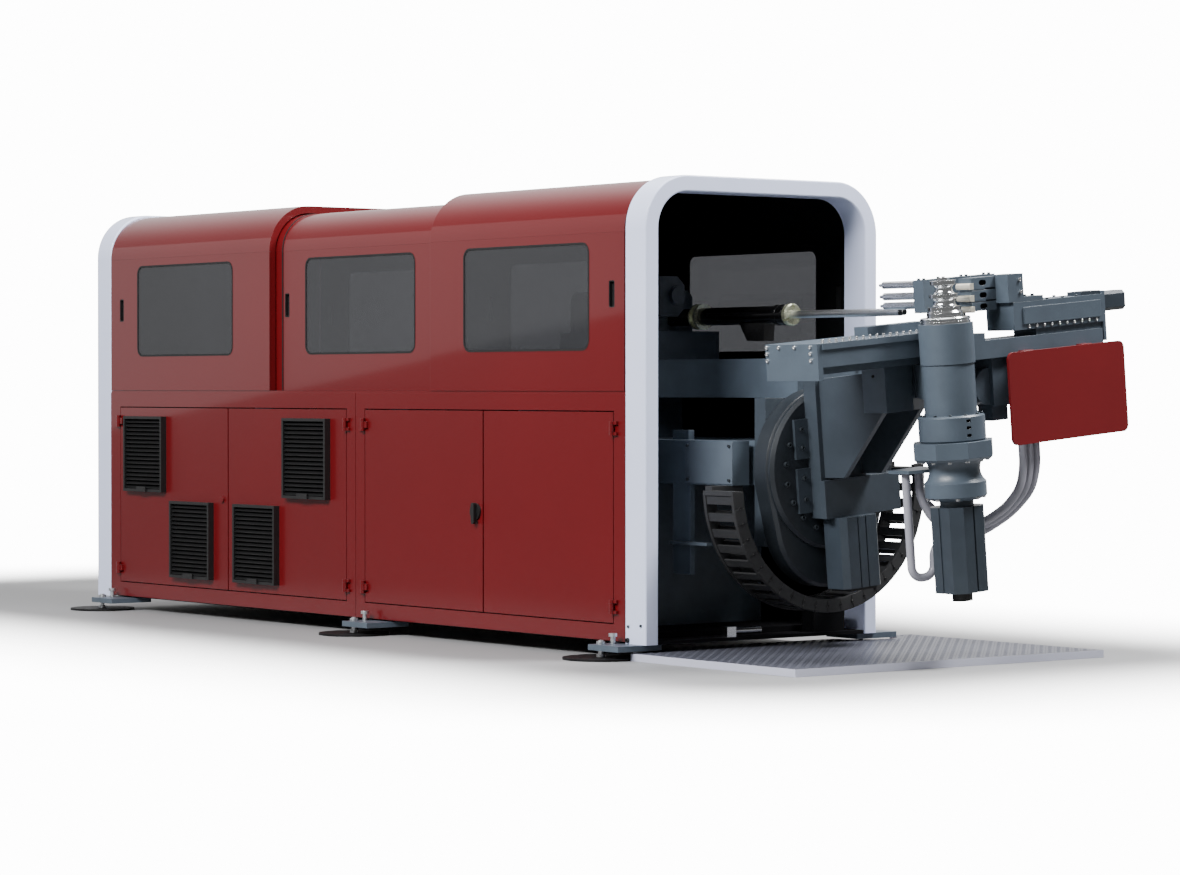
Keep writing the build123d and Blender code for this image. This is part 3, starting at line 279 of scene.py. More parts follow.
zinc_steel = surface("zinc_steel", (0.62, 0.64, 0.66), 0.30, metallic=0.9, patch=40.0, edge=0.001)
screw_steel = surface("screw_steel", (0.05, 0.06, 0.07), 0.32, metallic=0.6, patch=40.0, edge=0)
stud_steel = surface("stud_steel", (0.86, 0.87, 0.88), 0.24, metallic=0.9, patch=40.0, edge=0)
tread_steel = surface("tread_steel", (0.085, 0.088, 0.114), 0.38, metallic=0.2, patch=6.0, grain=700.0)
mat_frame = surface("mat_frame", (0.48, 0.49, 0.59), 0.36, coat=0.2, patch=6.0, grain=700.0, shift=0.02)
hose_grey = surface("hose_grey", (0.34, 0.34, 0.39), 0.34, patch=10.0, grain=200.0)
window_tint = tinted_pane("window_tint")

PAINTED = (
    (red_paint, ("near_wall", "far_wall", "rear_wall", "door_hinges", "door_1", "door_2", "door_3", "door_4",
                 "hood_rear", "hood_middle", "hood_front")),
    (red_panel, ("sign_panel",)),
    (silver_paint, ("front_portal", "rear_portal")),
    (machine_grey, ("machine_bed", "bed_columns", "cable_post", "feed_beam", "feed_carriage", "cross_beam",
                    "beam_end_plate", "spindle_housing", "gearbox", "pressure_block", "bend_arm",
                    "clamp_slide", "arm_gearbox", "jaw_holder", "foot_brackets")),
    # Painted shade on the swivel unit, the head's bracket and the lower housing
    (deep_grey, ("swivel_plate", "head_bracket", "lower_housing")),
    (disc_grey, ("swivel_casing", "swivel_disc")),
    (motor_grey, ("carriage_motor", "lower_motor", "bend_motor", "slide_motor")),
    # The base frame's pan under the machine takes the painted shade black
    (inside_black, ("base_frame",)),
    (vent_black, ("door_1_vents", "door_2_vents", "swing_handle")),
    (plate_black, ("foot_plates",)),
    (chain_black, ("energy_chain",)),
    (barrel_black, ("feed_barrel", "mandrel_nose")),
    (bright_steel, ("die_stack", "pressure_rods", "pan_roller")),
    (jaw_tip_steel, ("clamp_dies",)),
    (tube_steel, ("workpiece_tube",)),
    (ring_metal, ("barrel_rings", "collet")),
    (zinc_steel, ("levelling_bolts",)),
    (tread_steel, ("tread_mat",)),
    (hose_grey, ("hose_loops", "hose_risers")),
    (window_tint, ("windows_rear", "windows_middle", "windows_front")),
)
for finish, names in PAINTED:
    for name in names:
        nodes[name].data.materials.clear()
        nodes[name].data.materials.append(finish)


def repaint(name, finish, chosen):
    """Gives the chosen faces of a piece a second finish; chosen takes a face's centre and normal."""
    mesh = nodes[name].data
    mesh.materials.append(finish)
    for face in mesh.polygons:
        if chosen(face.center, face.normal):
            face.material_index = len(mesh.materials) - 1


def hood_inside(centre, normal):
    """True on the faces of a hood that look towards its middle."""
    return Vector((0, centre.y, centre.z - HOOD_MIDDLE)).dot(normal) < -0.02


def wall_inside(centre, normal):
    """True on the faces of a side wall or door that look into the housing."""
    return centre.y * normal.y < -0.3


# The faces of the hoods, side walls, doors and rear wall that look inwards get the painted shade black
for name in ("hood_rear", "hood_middle", "hood_front"):
    repaint(name, inside_black, hood_inside)
for name in ("near_wall", "far_wall", "door_1", "door_2", "door_3", "door_4"):
    repaint(name, inside_black, wall_inside)
repaint("rear_wall", inside_black, lambda centre, normal: normal.x > 0.5)
# The bed's cover plate and the cable post's shelf get the painted light grey
repaint("machine_bed", cover_grey, lambda centre, normal: centre.y < BED_COVER_FACE)
repaint("cable_post", cover_grey, lambda centre, normal: SHELF_BOTTOM < centre.z < SHELF_TOP)
repaint("tread_mat", mat_frame, lambda centre, normal: abs(normal.z) < 0.5)


def in_recess(centre, normal):
    """True on the three small recesses of the spindle's flange ring."""
    place_at = from_head(centre)
    radius = Vector((place_at.x - SPINDLE_X, place_at.y)).length
    return RECESS_RADII[0] < radius < RECESS_RADII[1] and RECESS_HEIGHTS[0] < place_at.z < RECESS_HEIGHTS[1]


def in_slot(centre, normal):
    """True inside the three slots of the jaw holder's bars."""
    return all(low < value < high for low, value, high in zip(SLOT_LOW, from_head(centre), SLOT_HIGH))


def on_tip_block(centre, normal):
    """True on the block between the bracket's gussets and the spindle."""
    place_at = from_head(centre)
    return place_at.x > 0.4 and abs(place_at.y) < 0.2 and place_at.z > 0.24


# The tip block keeps the plain machine grey; the rest of the head's bracket stays in painted shade
repaint("head_bracket", machine_grey, on_tip_block)
repaint("bend_motor", rubber_black, lambda centre, normal: from_head(centre).z < BEND_MOTOR_CAP)
repaint("lower_motor", rubber_black, lambda centre, normal: from_head(centre).z < LOWER_MOTOR_CAP)
# The spindle flange's recesses and the jaw holder's slots get painted shade black
repaint("spindle_housing", inside_black, in_recess)
repaint("jaw_holder", inside_black, in_slot)


# Small parts
def mesh_piece(name, build):
    """A plain mesh object made by a function that fills a bmesh."""
    mesh = bpy.data.meshes.new(name)
    shape = bmesh.new()
    build(shape)
    bmesh.ops.recalc_face_normals(shape, faces=shape.faces)
    shape.to_mesh(mesh)
    shape.free()
    piece = bpy.data.objects.new(name, mesh)
    bpy.context.scene.collection.objects.link(piece)
    return piece


def turned(shape, profile, sides):
    """Turns a list of (radius, height) steps round the Z axis and closes both ends."""
    rings = []
    for radius, height in profile:
        turns = [2 * pi * i / sides for i in range(sides)]
        rings.append([shape.verts.new((radius * cos(a), radius * sin(a), height)) for a in turns])
    for low, high in zip(rings, rings[1:]):
        for i in range(sides):
            j = (i + 1) % sides
            shape.faces.new((low[i], low[j], high[j], high[i]))
    shape.faces.new(rings[0][::-1])
    shape.faces.new(rings[-1])


def box(shape, low, high):
    """An upright box between two corners."""
    centre = (Vector(low) + Vector(high)) / 2
    size = Vector(high) - Vector(low)
    bmesh.ops.create_cube(shape, size=1.0, matrix=Matrix.Translation(centre) @ Matrix.Diagonal((*size, 1)))


def cap_screw(shape):
    """Socket head screw of unit radius, standing on z = 0."""
    turned(shape, [(1.0, -0.1), (1.0, 0.9), (0.9, 1.0), (0.55, 1.0), (0.5, 0.95), (0.5, 0.45)], 12)


def hex_head(shape):
    """Six-sided bolt head of unit radius on a washer."""
    turned(shape, [(1.35, -0.1), (1.35, 0.2)], 14)
    turned(shape, [(1.0, 0.15), (1.0, 0.9), (0.85, 1.0)], 6)


def tall_stud(shape):
    """Upright stud of unit radius with a nut at its foot."""
    turned(shape, [(1.5, -0.1), (1.5, 0.9), (1.0, 1.0), (1.0, 2.4), (0.8, 2.6)], 10)


PARTS = {part.__name__: mesh_piece(part.__name__, part) for part in (cap_screw, hex_head, tall_stud)}


def placing_tree():
    """Geometry nodes: a copy of the part at each point, with the point's own turn and size."""
    tree = bpy.data.node_groups.new("place_copies", "GeometryNodeTree")
    tree.interface.new_socket("Points", in_out="INPUT", socket_type="NodeSocketGeometry")
    tree.interface.new_socket("Part", in_out="INPUT", socket_type="NodeSocketObject")
    tree.interface.new_socket("Finish", in_out="INPUT", socket_type="NodeSocketMaterial")
    tree.interface.new_socket("Copies", in_out="OUTPUT", socket_type="NodeSocketGeometry")
    source = tree.nodes.new("NodeGroupInput")
    result = tree.nodes.new("NodeGroupOutput")
    info = tree.nodes.new("GeometryNodeObjectInfo")
    turn = tree.nodes.new("GeometryNodeInputNamedAttribute")
    turn.data_type = "FLOAT_VECTOR"
    turn.inputs["Name"].default_value = "turn"
    size = tree.nodes.new("GeometryNodeInputNamedAttribute")
    size.data_type = "FLOAT"
    size.inputs["Name"].default_value = "size"
    copies = tree.nodes.new("GeometryNodeInstanceOnPoints")
    real = tree.nodes.new("GeometryNodeRealizeInstances")
    finish = tree.nodes.new("GeometryNodeSetMaterial")
    link = tree.links.new
    link(source.outputs["Part"], info.inputs["Object"])
    link(source.outputs["Points"], copies.inputs["Points"])
    link(info.outputs["Geometry"], copies.inputs["Instance"])
    link(turn.outputs["Attribute"], copies.inputs["Rotation"])
    link(size.outputs["Attribute"], copies.inputs["Scale"])
    link(copies.outputs["Instances"], real.inputs["Geometry"])
    link(real.outputs["Geometry"], finish.inputs["Geometry"])
    link(source.outputs["Finish"], finish.inputs["Material"])
    link(finish.outputs["Geometry"], result.inputs["Copies"])
    return tree


PLACE_COPIES = placing_tree()


def grown_mesh(holder, tree, **values):
    """The plain mesh that a node tree makes on a holder; the holder itself goes."""
    modifier = holder.modifiers.new(tree.name, "NODES")
    modifier.node_group = tree
    for item in tree.interface.items_tree:
        if item.item_type == "SOCKET" and item.in_out == "INPUT" and item.name in values:
            modifier[item.identifier] = values[item.name]
    graph = bpy.context.evaluated_depsgraph_get()
    mesh = bpy.data.meshes.new_from_object(holder.evaluated_get(graph), preserve_all_data_layers=False,
                                           depsgraph=graph)
    bpy.data.objects.remove(holder)
    return mesh


def place(name, body, part, size, spots, finish):
    """Sets copies of a small part at (place, direction) spots on one body."""
    mesh = bpy.data.meshes.new(name + "_points")
    mesh.from_pydata([spot for spot, way in spots], [], [])
    mesh.attributes.new("turn", "FLOAT_VECTOR", "POINT")
    mesh.attributes.new("size", "FLOAT", "POINT")
    for index, (spot, way) in enumerate(spots):
        mesh.attributes["turn"].data[index].vector = Vector(way).to_track_quat("Z", "Y").to_euler()
        mesh.attributes["size"].data[index].value = size
    holder = bpy.data.objects.new(name + "_holder", mesh)
    bpy.context.scene.collection.objects.link(holder)
    plain = bpy.data.objects.new(name, grown_mesh(holder, PLACE_COPIES, Part=PARTS[part], Finish=finish))
    bpy.context.scene.collection.objects.link(plain)
    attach(plain, body)


def finish_piece(piece, body, finish):
    """Gives a piece its finish and sets it on its body."""
    piece.data.materials.append(finish)
    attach(piece, body)


# Screws
def row(start, end, count):
    """Evenly spaced places from start to end."""
    start, end = Vector(start), Vector(end)
    return [start.lerp(end, i / (count - 1)) for i in range(count)]


UP = head_way(0, 0, 1)
OUT = Vector((1, 0, 0))
ASIDE = head_way(0, -1, 0)
DOWN = head_way(0, 0, -1)
ALONG_NEAR = Vector((0, -1, 0))


def ring_of(radius, z, count, way, start=0.0):
    """Places on a circle round the spindle axis."""
    turns = [radians(start + 360 / count * i) for i in range(count)]
    return [(on_head(SPINDLE_X + radius * cos(a), radius * sin(a), z), way) for a in turns]


beam_row = [(on_head(*spot), UP) for spot in row((0.638, -0.548, BEAM_TOP), (0.638, 0.192, BEAM_TOP), 21)]
end_screws = [(on_head(x, END_PLATE_FACE, z), ASIDE) for x in (0.337, 0.608) for z in (0.507, 0.535, 0.561)]
end_screws += [(on_head(x, END_PLATE_FACE, 0.561), ASIDE) for x in (0.412, 0.51)]
disc_screws = [(on_head(DISC_FACE, DISC_RADIUS * cos(radians(a)), DISC_RADIUS * sin(radians(a))), OUT)
               for a in range(9, 369, 18)]
strip_screws = [(on_head(0.041, -0.18, z), OUT) for z in (0.183, 0.105, -0.024, -0.116)]
block_screws = [(on_head(x, y, BLOCK_TOP), UP) for x in (0.625, 0.656) for y in (0.01, 0.12, 0.25, 0.38)]
# The tip block's hole is drawn as a black plug: painted shade inside the hole
tip_holes = [(on_head(0.475, -0.14, 0.405), ASIDE)]
flange_screws = ring_of(0.124, 0.235, 12, UP, 15)
octagon_screws = ring_of(0.138, 0.05, 12, DOWN, 10)
drum_screws = ring_of(0.113, -0.105, 8, DOWN, 5)
place("tip_block_hole", "head", "cap_screw", 0.006, tip_holes, rubber_black)
place("beam_studs", "head", "tall_stud", 0.0058, beam_row, stud_steel)
place("end_plate_screws", "head", "cap_screw", 0.008, end_screws, stud_steel)
place("disc_screws", "head", "cap_screw", 0.0115, disc_screws, screw_steel)
place("flange_screws", "head", "cap_screw", 0.0065, flange_screws, screw_steel)
place("octagon_screws", "head", "hex_head", 0.0085, octagon_screws, stud_steel)
place("drum_screws", "head", "hex_head", 0.0085, drum_screws, stud_steel)
place("strip_screws", "head", "cap_screw", 0.010, strip_screws, screw_steel)
place("block_screws", "head", "cap_screw", 0.007, block_screws, screw_steel)

slide_studs = [(on_head(SLIDE_FACE, y, 0.567), OUT) for y in (0.40 + 0.044 * i for i in range(10))]
slide_screws = [(on_head(x, y, 0.672), UP) for x in (0.71, 0.84) for y in (0.53, 0.62, 0.70)]
step_screws = [(on_head(x, y, 0.692), UP) for x in (0.76, 0.82) for y in (0.42, 0.465)]
holder_screws = [(on_head(SLIDE_FACE, *spot), OUT) for spot in ((0.360, 0.765), (0.364, 0.714))]
place("slide_studs", "bend_arm", "cap_screw", 0.0062, slide_studs, stud_steel)
place("slide_screws", "bend_arm", "cap_screw", 0.007, slide_screws, screw_steel)
place("step_screws", "clamp", "cap_screw", 0.008, step_screws, screw_steel)
place("holder_screws", "clamp", "cap_screw", 0.007, holder_screws, stud_steel)

cover_screws = [(Vector((FRONT - x, -0.304, z)), ALONG_NEAR) for x in (0.15, -0.13) for z in (0.762, 0.908)]
beam_bolts = [(Vector((FRONT + 0.222, y, 1.25)), OUT) for y in (0.05, 0.2, 0.35)]
portal_screws = [(Vector((FRONT - x, NEAR, z)), ALONG_NEAR) for x, z in ((0.117, 0.140), (0.031, 0.147))]
portal_plug = [(Vector((FRONT - 0.12, NEAR, 0.081)), ALONG_NEAR)]
place("cover_screws", "housing", "cap_screw", 0.007, cover_screws, screw_steel)
place("beam_end_bolts", "housing", "hex_head", 0.012, beam_bolts, zinc_steel)
place("portal_screws", "housing", "cap_screw", 0.006, portal_screws, screw_steel)
place("portal_plug", "housing", "cap_screw", 0.011, portal_plug, rubber_black)


# Tread plate of the mat
mat_low, mat_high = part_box("tread_mat")


def tread_lens(shape):
    """One raised lens of the tread pattern, unit length along X."""
    ends = [shape.verts.new((-0.5, 0, -0.02)), shape.verts.new((0.5, 0, -0.02))]
    sides = [shape.verts.new((x, y, -0.02)) for y in (-0.13, 0.13) for x in (-0.25, 0.25)]
    tops = [shape.verts.new((x, 0, 0.05)) for x in (-0.25, 0.25)]
    left_near, right_near, left_far, right_far = sides
    shape.faces.new((ends[0], left_near, tops[0]))
    shape.faces.new((left_near, right_near, tops[1], tops[0]))
    shape.faces.new((right_near, ends[1], tops[1]))
    shape.faces.new((ends[1], right_far, tops[1]))
    shape.faces.new((right_far, left_far, tops[0], tops[1]))
    shape.faces.new((left_far, ends[0], tops[0]))
    shape.faces.new((ends[0], left_far, right_far, ends[1], right_near, left_near))


PARTS["tread_lens"] = mesh_piece("tread_lens", tread_lens)


def tread_tree():
    """Geometry nodes: lenses on a grid, turned the other way on every second place."""
    tree = bpy.data.node_groups.new("tread_pattern", "GeometryNodeTree")
    for label, kind, value in (("Lens", "NodeSocketObject", None), ("Finish", "NodeSocketMaterial", None),
                               ("Length", "NodeSocketFloat", mat_high.x - mat_low.x - 2 * MAT_RIM),
                               ("Width", "NodeSocketFloat", mat_high.y - mat_low.y - 2 * MAT_RIM),
                               ("Rows", "NodeSocketInt", 45), ("Columns", "NodeSocketInt", 65),
                               ("Lens length", "NodeSocketFloat", 0.023)):
        item = tree.interface.new_socket(label, in_out="INPUT", socket_type=kind)
        if value is not None:
            item.default_value = value
    tree.interface.new_socket("Pattern", in_out="OUTPUT", socket_type="NodeSocketGeometry")
    source = tree.nodes.new("NodeGroupInput")
    result = tree.nodes.new("NodeGroupOutput")
    grid = tree.nodes.new("GeometryNodeMeshGrid")
    info = tree.nodes.new("GeometryNodeObjectInfo")
    index = tree.nodes.new("GeometryNodeInputIndex")
    halves = tree.nodes.new("ShaderNodeMath")
    halves.operation = "MODULO"
    halves.inputs[1].default_value = 2.0
    angle = tree.nodes.new("ShaderNodeMapRange")
    angle.inputs["To Min"].default_value = radians(45)
    angle.inputs["To Max"].default_value = radians(-45)
    turn = tree.nodes.new("ShaderNodeCombineXYZ")
    copies = tree.nodes.new("GeometryNodeInstanceOnPoints")
    real = tree.nodes.new("GeometryNodeRealizeInstances")
    finish = tree.nodes.new("GeometryNodeSetMaterial")
    link = tree.links.new
    link(source.outputs["Length"], grid.inputs["Size X"])
    link(source.outputs["Width"], grid.inputs["Size Y"])
    link(source.outputs["Rows"], grid.inputs["Vertices X"])
    link(source.outputs["Columns"], grid.inputs["Vertices Y"])
    link(index.outputs["Index"], halves.inputs[0])
    link(halves.outputs["Value"], angle.inputs["Value"])
    link(angle.outputs["Result"], turn.inputs["Z"])
    link(source.outputs["Lens"], info.inputs["Object"])
    link(grid.outputs["Mesh"], copies.inputs["Points"])
    link(info.outputs["Geometry"], copies.inputs["Instance"])
    link(turn.outputs["Vector"], copies.inputs["Rotation"])
    link(source.outputs["Lens length"], copies.inputs["Scale"])
    link(copies.outputs["Instances"], real.inputs["Geometry"])
    link(real.outputs["Geometry"], finish.inputs["Geometry"])
    link(source.outputs["Finish"], finish.inputs["Material"])
    link(finish.outputs["Geometry"], result.inputs["Pattern"])
    return tree


def tread_pattern():
    """Ridges over the mat, left out where the feet stand."""
    holder = mesh_piece("tread_holder", lambda shape: shape.verts.new((0, 0, 0)))
    mesh = grown_mesh(holder, tread_tree(), Lens=PARTS["tread_lens"], Finish=tread_steel)
    middle = Vector(((mat_low.x + mat_high.x) / 2, (mat_low.y + mat_high.y) / 2, mat_high.z))
    mesh.transform(Matrix.Translation(middle))
    shape = bmesh.new()
    shape.from_mesh(mesh)
    gone = [v for v in shape.verts if any((v.co.xy - foot).length < FOOT_ROOM for foot in FEET)]
    bmesh.ops.delete(shape, geom=gone, context="VERTS")
    shape.to_mesh(mesh)
    shape.free()
    plain = bpy.data.objects.new("tread_ridges", mesh)
    bpy.context.scene.collection.objects.link(plain)
    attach(plain, "housing")


tread_pattern()


# Housing details
def rounded_outline(width, height, radius, steps=6):
    """Points round a rectangle with rounded corners, centred on the origin."""
    points = []
    for corner, (sx, sy) in enumerate(((1, 1), (-1, 1), (-1, -1), (1, -1))):
        for step in range(steps + 1):
            angle = (corner + step / steps) * pi / 2
            points.append((sx * (width / 2 - radius) + radius * cos(angle),
                           sy * (height / 2 - radius) + radius * sin(angle)))
    return points


def band(shape, outer, inner, place_at, depth):
    """A flat closed band between two outlines, extruded by depth."""
    loops = []
    for outline, level in ((outer, 0), (outer, depth), (inner, depth), (inner, 0)):
        loops.append([shape.verts.new(place_at(u, v, level)) for u, v in outline])
    count = len(outer)
    for first, second in zip(loops, loops[1:] + loops[:1]):
        for i in range(count):
            j = (i + 1) % count
            shape.faces.new((first[i], first[j], second[j], second[i]))


def window_seals(name, inset):
    """Rubber profiles round the two windows of a hood."""
    low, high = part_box("windows_" + name)
    width, height = high.x - low.x, high.z - low.z
    centre = (low + high) / 2

    def build(shape):
        for side in (-1, 1):
            face = side * (HALF_WIDTH - inset + SEAL_PROUD)

            def place_at(u, v, level, side=side, face=face):
                return (centre.x + u, face - side * level, centre.z + v)

            outer, inner = [rounded_outline(width + grow, height + grow, radius)
                            for grow, radius in SEAL_OUTLINES]
            band(shape, outer, inner, place_at, SEAL_DEPTH)

    finish_piece(mesh_piece("window_seals_" + name, build), "hood_" + name, rubber_black)


def hood_outline(inset, steps=12):
    """Open outline of a hood's section from the near wall over the roof to the far wall."""
    half, top, radius = HALF_WIDTH - inset, HOOD_TOP - inset, HOOD_RADIUS - inset
    points = [(-half, HOOD_FOOT)]
    for step in range(steps + 1):
        angle = pi - step / steps * pi / 2
        points.append((-half + radius + radius * cos(angle), top - radius + radius * sin(angle)))
    for step in range(steps + 1):
        angle = pi / 2 - step / steps * pi / 2
        points.append((half - radius + radius * cos(angle), top - radius + radius * sin(angle)))
    points.append((half, HOOD_FOOT))
    return points


def hood_band(name, body, x, finish, slot, thickness, inset, depth):
    """A closed strip that follows a hood's section, between two insets."""
    outer, inner = hood_outline(inset), hood_outline(inset + depth)

    def build(shape):
        rings = []
        for outline, end in ((outer, x), (outer, x + thickness), (inner, x + thickness), (inner, x)):
            rings.append([shape.verts.new((end, y, z)) for y, z in outline])
        for first, second in zip(rings, rings[1:] + rings[:1]):
            for i in range(len(outer) - 1):
                shape.faces.new((first[i], first[i + 1], second[i + 1], second[i]))
        shape.faces.new([ring[0] for ring in rings])
        shape.faces.new([ring[-1] for ring in rings][::-1])

    finish_piece(mesh_piece(name, build), body, finish)


rear_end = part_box("hood_rear")[1].x
front_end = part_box("hood_front")[0].x
hood_band("rear_hood_flange", "hood_rear", rear_end - 0.014, red_paint, "red_paint", **FLANGE)
hood_band("front_hood_flange", "hood_front", front_end + 0.0002, red_paint, "red_paint", **FLANGE)
hood_band("middle_hood_seal", "hood_middle", rear_end + 0.052, rubber_black, "black_plastic", **OVERLAP_SEAL)
for name, inset in HOOD_INSETS.items():
    window_seals(name, inset)


def grip_cups(name, inset):
    """Black cups behind the slots of a hood: painted shade for the dark inside the slots."""
    def build(shape):
        for x in GRIPS[name]:
            for side in (-1, 1):
                face = side * (HALF_WIDTH - inset - GRIP_GAP)

                def place_at(u, v, level, x=x, side=side, face=face):
                    return (x + u, face - side * level, GRIP_HEIGHT + v)

                band(shape, rounded_outline(*GRIP_OUTSIDE), rounded_outline(*GRIP_INSIDE), place_at,
                     GRIP_DEPTH)
                low, high = sorted((face - side * GRIP_DEPTH, face - side * (GRIP_DEPTH - GRIP_BACK)))
                box(shape, (x - GRIP_BACK_HALF_WIDTH, low, GRIP_HEIGHT - GRIP_BACK_HALF_HEIGHT),
                    (x + GRIP_BACK_HALF_WIDTH, high, GRIP_HEIGHT + GRIP_BACK_HALF_HEIGHT))

    finish_piece(mesh_piece("grip_cups_" + name, build), "hood_" + name, vent_black)


for name, inset in HOOD_INSETS.items():
    grip_cups(name, inset)


def filter_mats(number, spots):
    """Filter mats behind the louvres of a door, in painted shade black."""
    def build(shape):
        for x, z in spots:
            box(shape, (x + FILTER_START[0], FILTER_FACES[0], z + FILTER_START[1]),
                (x + FILTER_END[0], FILTER_FACES[1], z + FILTER_END[1]))

    finish_piece(mesh_piece(f"door_{number}_filters", build), f"door_{number}", inside_black)


for number, spots in FILTER_SPOTS.items():
    filter_mats(number, spots)


# Energy chain link plates
def chain_place(x, radius, angle):
    """A place on the energy chain at a radius and an angle."""
    return Vector((x, CHAIN_MIDDLE[0] + radius * cos(angle), CHAIN_MIDDLE[1] + radius * sin(angle)))


def link_plates(shape):
    """Overlapping side plates of the energy chain on both faces."""
    for face, out in ((CHAIN_NEAR_FACE, 1), (CHAIN_FAR_FACE, -1)):
        for number in range(CHAIN_LINKS):
            middle = CHAIN_START + CHAIN_PITCH * (number + 0.5)
            ring = [(radius, middle - span * CHAIN_PITCH) for radius, span in LINK_CORNERS]
            ring += [(radius, middle + span * CHAIN_PITCH) for radius, span in LINK_CORNERS[::-1]]
            lift = LINK_LIFTS[number % 2]
            base = [shape.verts.new(chain_place(face - out * LINK_SUNK, *corner)) for corner in ring]
            top = [shape.verts.new(chain_place(face + out * lift, *corner)) for corner in ring]
            for i in range(len(ring)):
                j = (i + 1) % len(ring)
                shape.faces.new((base[i], base[j], top[j], top[i]))
            shape.faces.new(top)
            shape.faces.new(base[::-1])


finish_piece(mesh_piece("chain_link_plates", link_plates), "housing", chain_black)
chain_pins = [(chain_place(CHAIN_NEAR_FACE, PIN_RADIUS, CHAIN_START + CHAIN_PITCH * number), OUT)
              for number in range(1, CHAIN_LINKS)]
place("chain_pins", "housing", "cap_screw", 0.0065, chain_pins, link_black)

for part in PARTS.values():
    bpy.data.objects.remove(part)


# Studio
# The floor is grey within FLOOR_FADE of the machine's footprint and white beyond: painted shade round the
# machine
FLOOR_HALF = 12
FLOOR_SHADES = ((0.26, 0.26, 0.265), (0.275, 0.275, 0.28))
FLOOR_KEPT = (("X", -0.5, 3.7), ("Y", 0.1, 0.9))
FLOOR_FADE = (0.3, 2.6)
FIELD_WAY = (-0.78, 0.60, 0.15)
FIELD_RANGE = (("From Min", 0.35), ("From Max", 0.9), ("To Min", 0.16), ("To Max", 1.2))
WHITE_STRENGTH = 14.0
CAMERA_PLACE = (14.116, -9.946, 1.159)
CAMERA_TURN = (radians(90 - 0.812), 0, radians(52.64))
CAMERA_LENS = 108.27


def pale_floor():
    """Pale grey floor round the machine that fades into the white background away from it: the grey is
    painted shade round the machine, on top of the lamps' own shadows.
    """
    def build(shape):
        bmesh.ops.create_grid(shape, x_segments=1, y_segments=1, size=FLOOR_HALF)

    floor = mesh_piece("studio_floor", build)
    material, tree, bsdf = shader("floor_white")
    shade = tone(tree, spread(tree, object_noise(tree, 0.3), 0, 1), *FLOOR_SHADES)
    tree.links.new(shade, bsdf.inputs["Base Color"])
    bsdf.inputs["Roughness"].default_value = 0.6
    coords = tree.nodes.new("ShaderNodeTexCoord")
    split = tree.nodes.new("ShaderNodeSeparateXYZ")
    tree.links.new(coords.outputs["Object"], split.inputs["Vector"])
    outside = []
    for axis, middle, half in FLOOR_KEPT:
        offset = math_node(tree, "ABSOLUTE", math_node(tree, "SUBTRACT", split.outputs[axis], middle))
        outside.append(math_node(tree, "MAXIMUM", math_node(tree, "SUBTRACT", offset, half), 0.0))
    squares = [math_node(tree, "MULTIPLY", value, value) for value in outside]
    distance = math_node(tree, "SQRT", math_node(tree, "ADD", *squares))
    fade = tree.nodes.new("ShaderNodeMapRange")
    fade.interpolation_type = "SMOOTHSTEP"
    fade.inputs["From Min"].default_value = FLOOR_FADE[0]
    fade.inputs["From Max"].default_value = FLOOR_FADE[1]
    tree.links.new(distance, fade.inputs["Value"])
    clear = tree.nodes.new("ShaderNodeBsdfTransparent")
    mix = tree.nodes.new("ShaderNodeMixShader")
    tree.links.new(fade.outputs["Result"], mix.inputs["Fac"])
    tree.links.new(bsdf.outputs["BSDF"], mix.inputs[1])
    tree.links.new(clear.outputs["BSDF"], mix.inputs[2])
    tree.links.new(mix.outputs["Shader"], tree.nodes["Material Output"].inputs["Surface"])
    floor.data.materials.append(material)


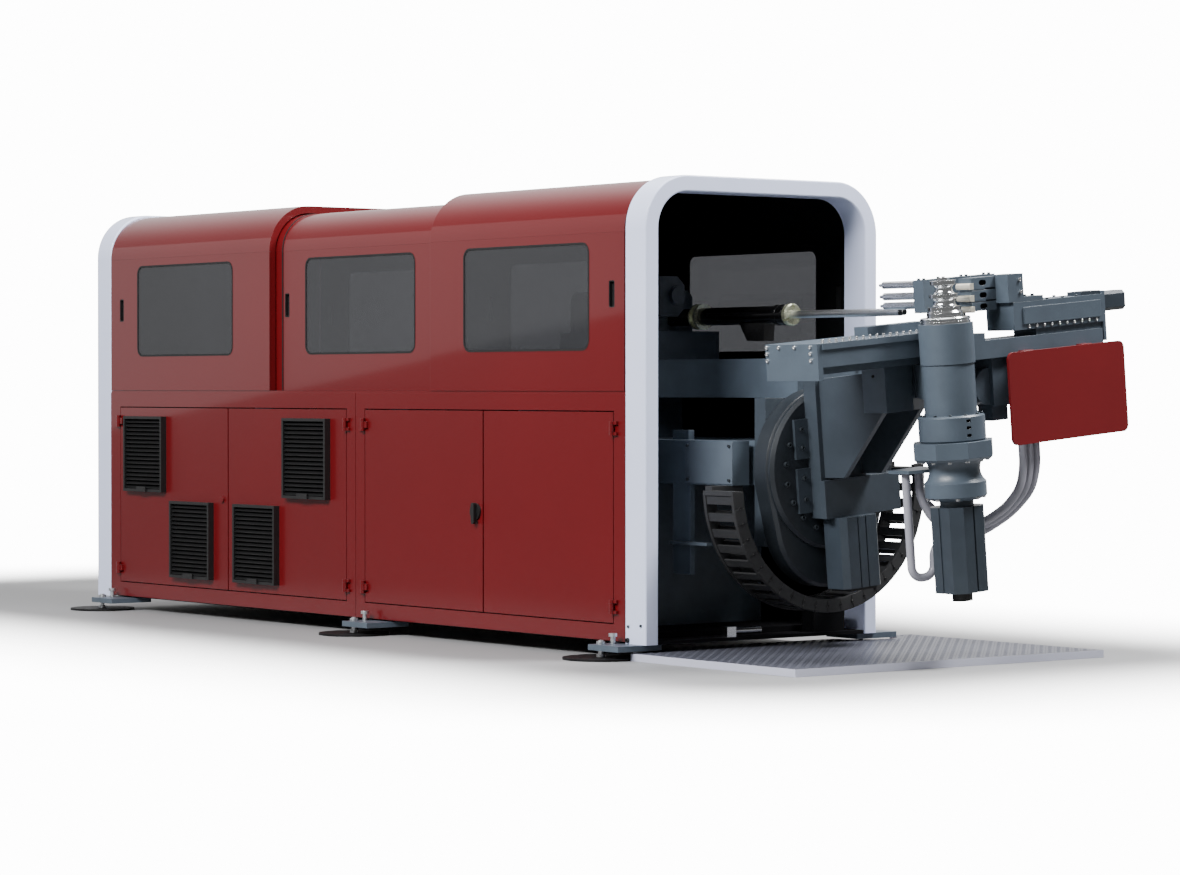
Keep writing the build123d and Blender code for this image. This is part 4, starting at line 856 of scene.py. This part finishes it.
def white_background():
    """White to the eye, softer as a light, with a brighter field behind the machine."""
    world = bpy.data.worlds.new("studio_world")
    world.use_nodes = True
    tree = world.node_tree
    coords = tree.nodes.new("ShaderNodeTexCoord")
    towards = tree.nodes.new("ShaderNodeVectorMath")
    towards.operation = "DOT_PRODUCT"
    towards.inputs[1].default_value = FIELD_WAY
    tree.links.new(coords.outputs["Generated"], towards.inputs[0])
    field = tree.nodes.new("ShaderNodeMapRange")
    field.interpolation_type = "SMOOTHSTEP"
    for socket, value in FIELD_RANGE:
        field.inputs[socket].default_value = value
    tree.links.new(towards.outputs["Value"], field.inputs["Value"])
    eye = tree.nodes.new("ShaderNodeLightPath")
    strength = tree.nodes.new("ShaderNodeMix")
    strength.inputs["B"].default_value = WHITE_STRENGTH
    tree.links.new(eye.outputs["Is Camera Ray"], strength.inputs["Factor"])
    tree.links.new(field.outputs["Result"], strength.inputs["A"])
    tree.nodes["Background"].inputs["Color"].default_value = (1, 1, 1, 1)
    tree.links.new(strength.outputs["Result"], tree.nodes["Background"].inputs["Strength"])
    bpy.context.scene.world = world


def soft_light(name, place_at, aim, width, height, power, roll=0.0):
    """A large soft lamp at a place, turned towards an aim and rolled round that line."""
    lamp = bpy.data.lights.new(name, "AREA")
    lamp.shape = "RECTANGLE"
    lamp.size, lamp.size_y, lamp.energy = width, height, power
    holder = bpy.data.objects.new(name, lamp)
    bpy.context.scene.collection.objects.link(holder)
    turn = (Vector(aim) - Vector(place_at)).to_track_quat("-Z", "Y").to_matrix()
    holder.location = place_at
    holder.rotation_euler = (turn @ Matrix.Rotation(roll, 3, "Z")).to_euler()


pale_floor()
white_background()
soft_light("side_panel", (-8.6, -5.5, 3.6), (-8.6, 0, 3.6), 9, 5, 112, radians(7))
soft_light("key_light", (3.0, -9.0, 7.0), (0.5, 0, 1), 7, 3, 2300)
soft_light("front_light", (5.6, 3.6, 7.6), (2.6, 0, 1), 2.5, 2.5, 1450)
soft_light("top_light", (0.5, 0, 8.0), (0.5, 0, 1), 8, 3, 420)


def photo_camera():
    """The camera at the photograph's viewing angle."""
    lens = bpy.data.cameras.new("photo_camera")
    lens.lens = CAMERA_LENS
    lens.clip_end = 200
    holder = bpy.data.objects.new("photo_camera", lens)
    bpy.context.scene.collection.objects.link(holder)
    holder.location = CAMERA_PLACE
    holder.rotation_euler = CAMERA_TURN
    bpy.context.scene.camera = holder


photo_camera()
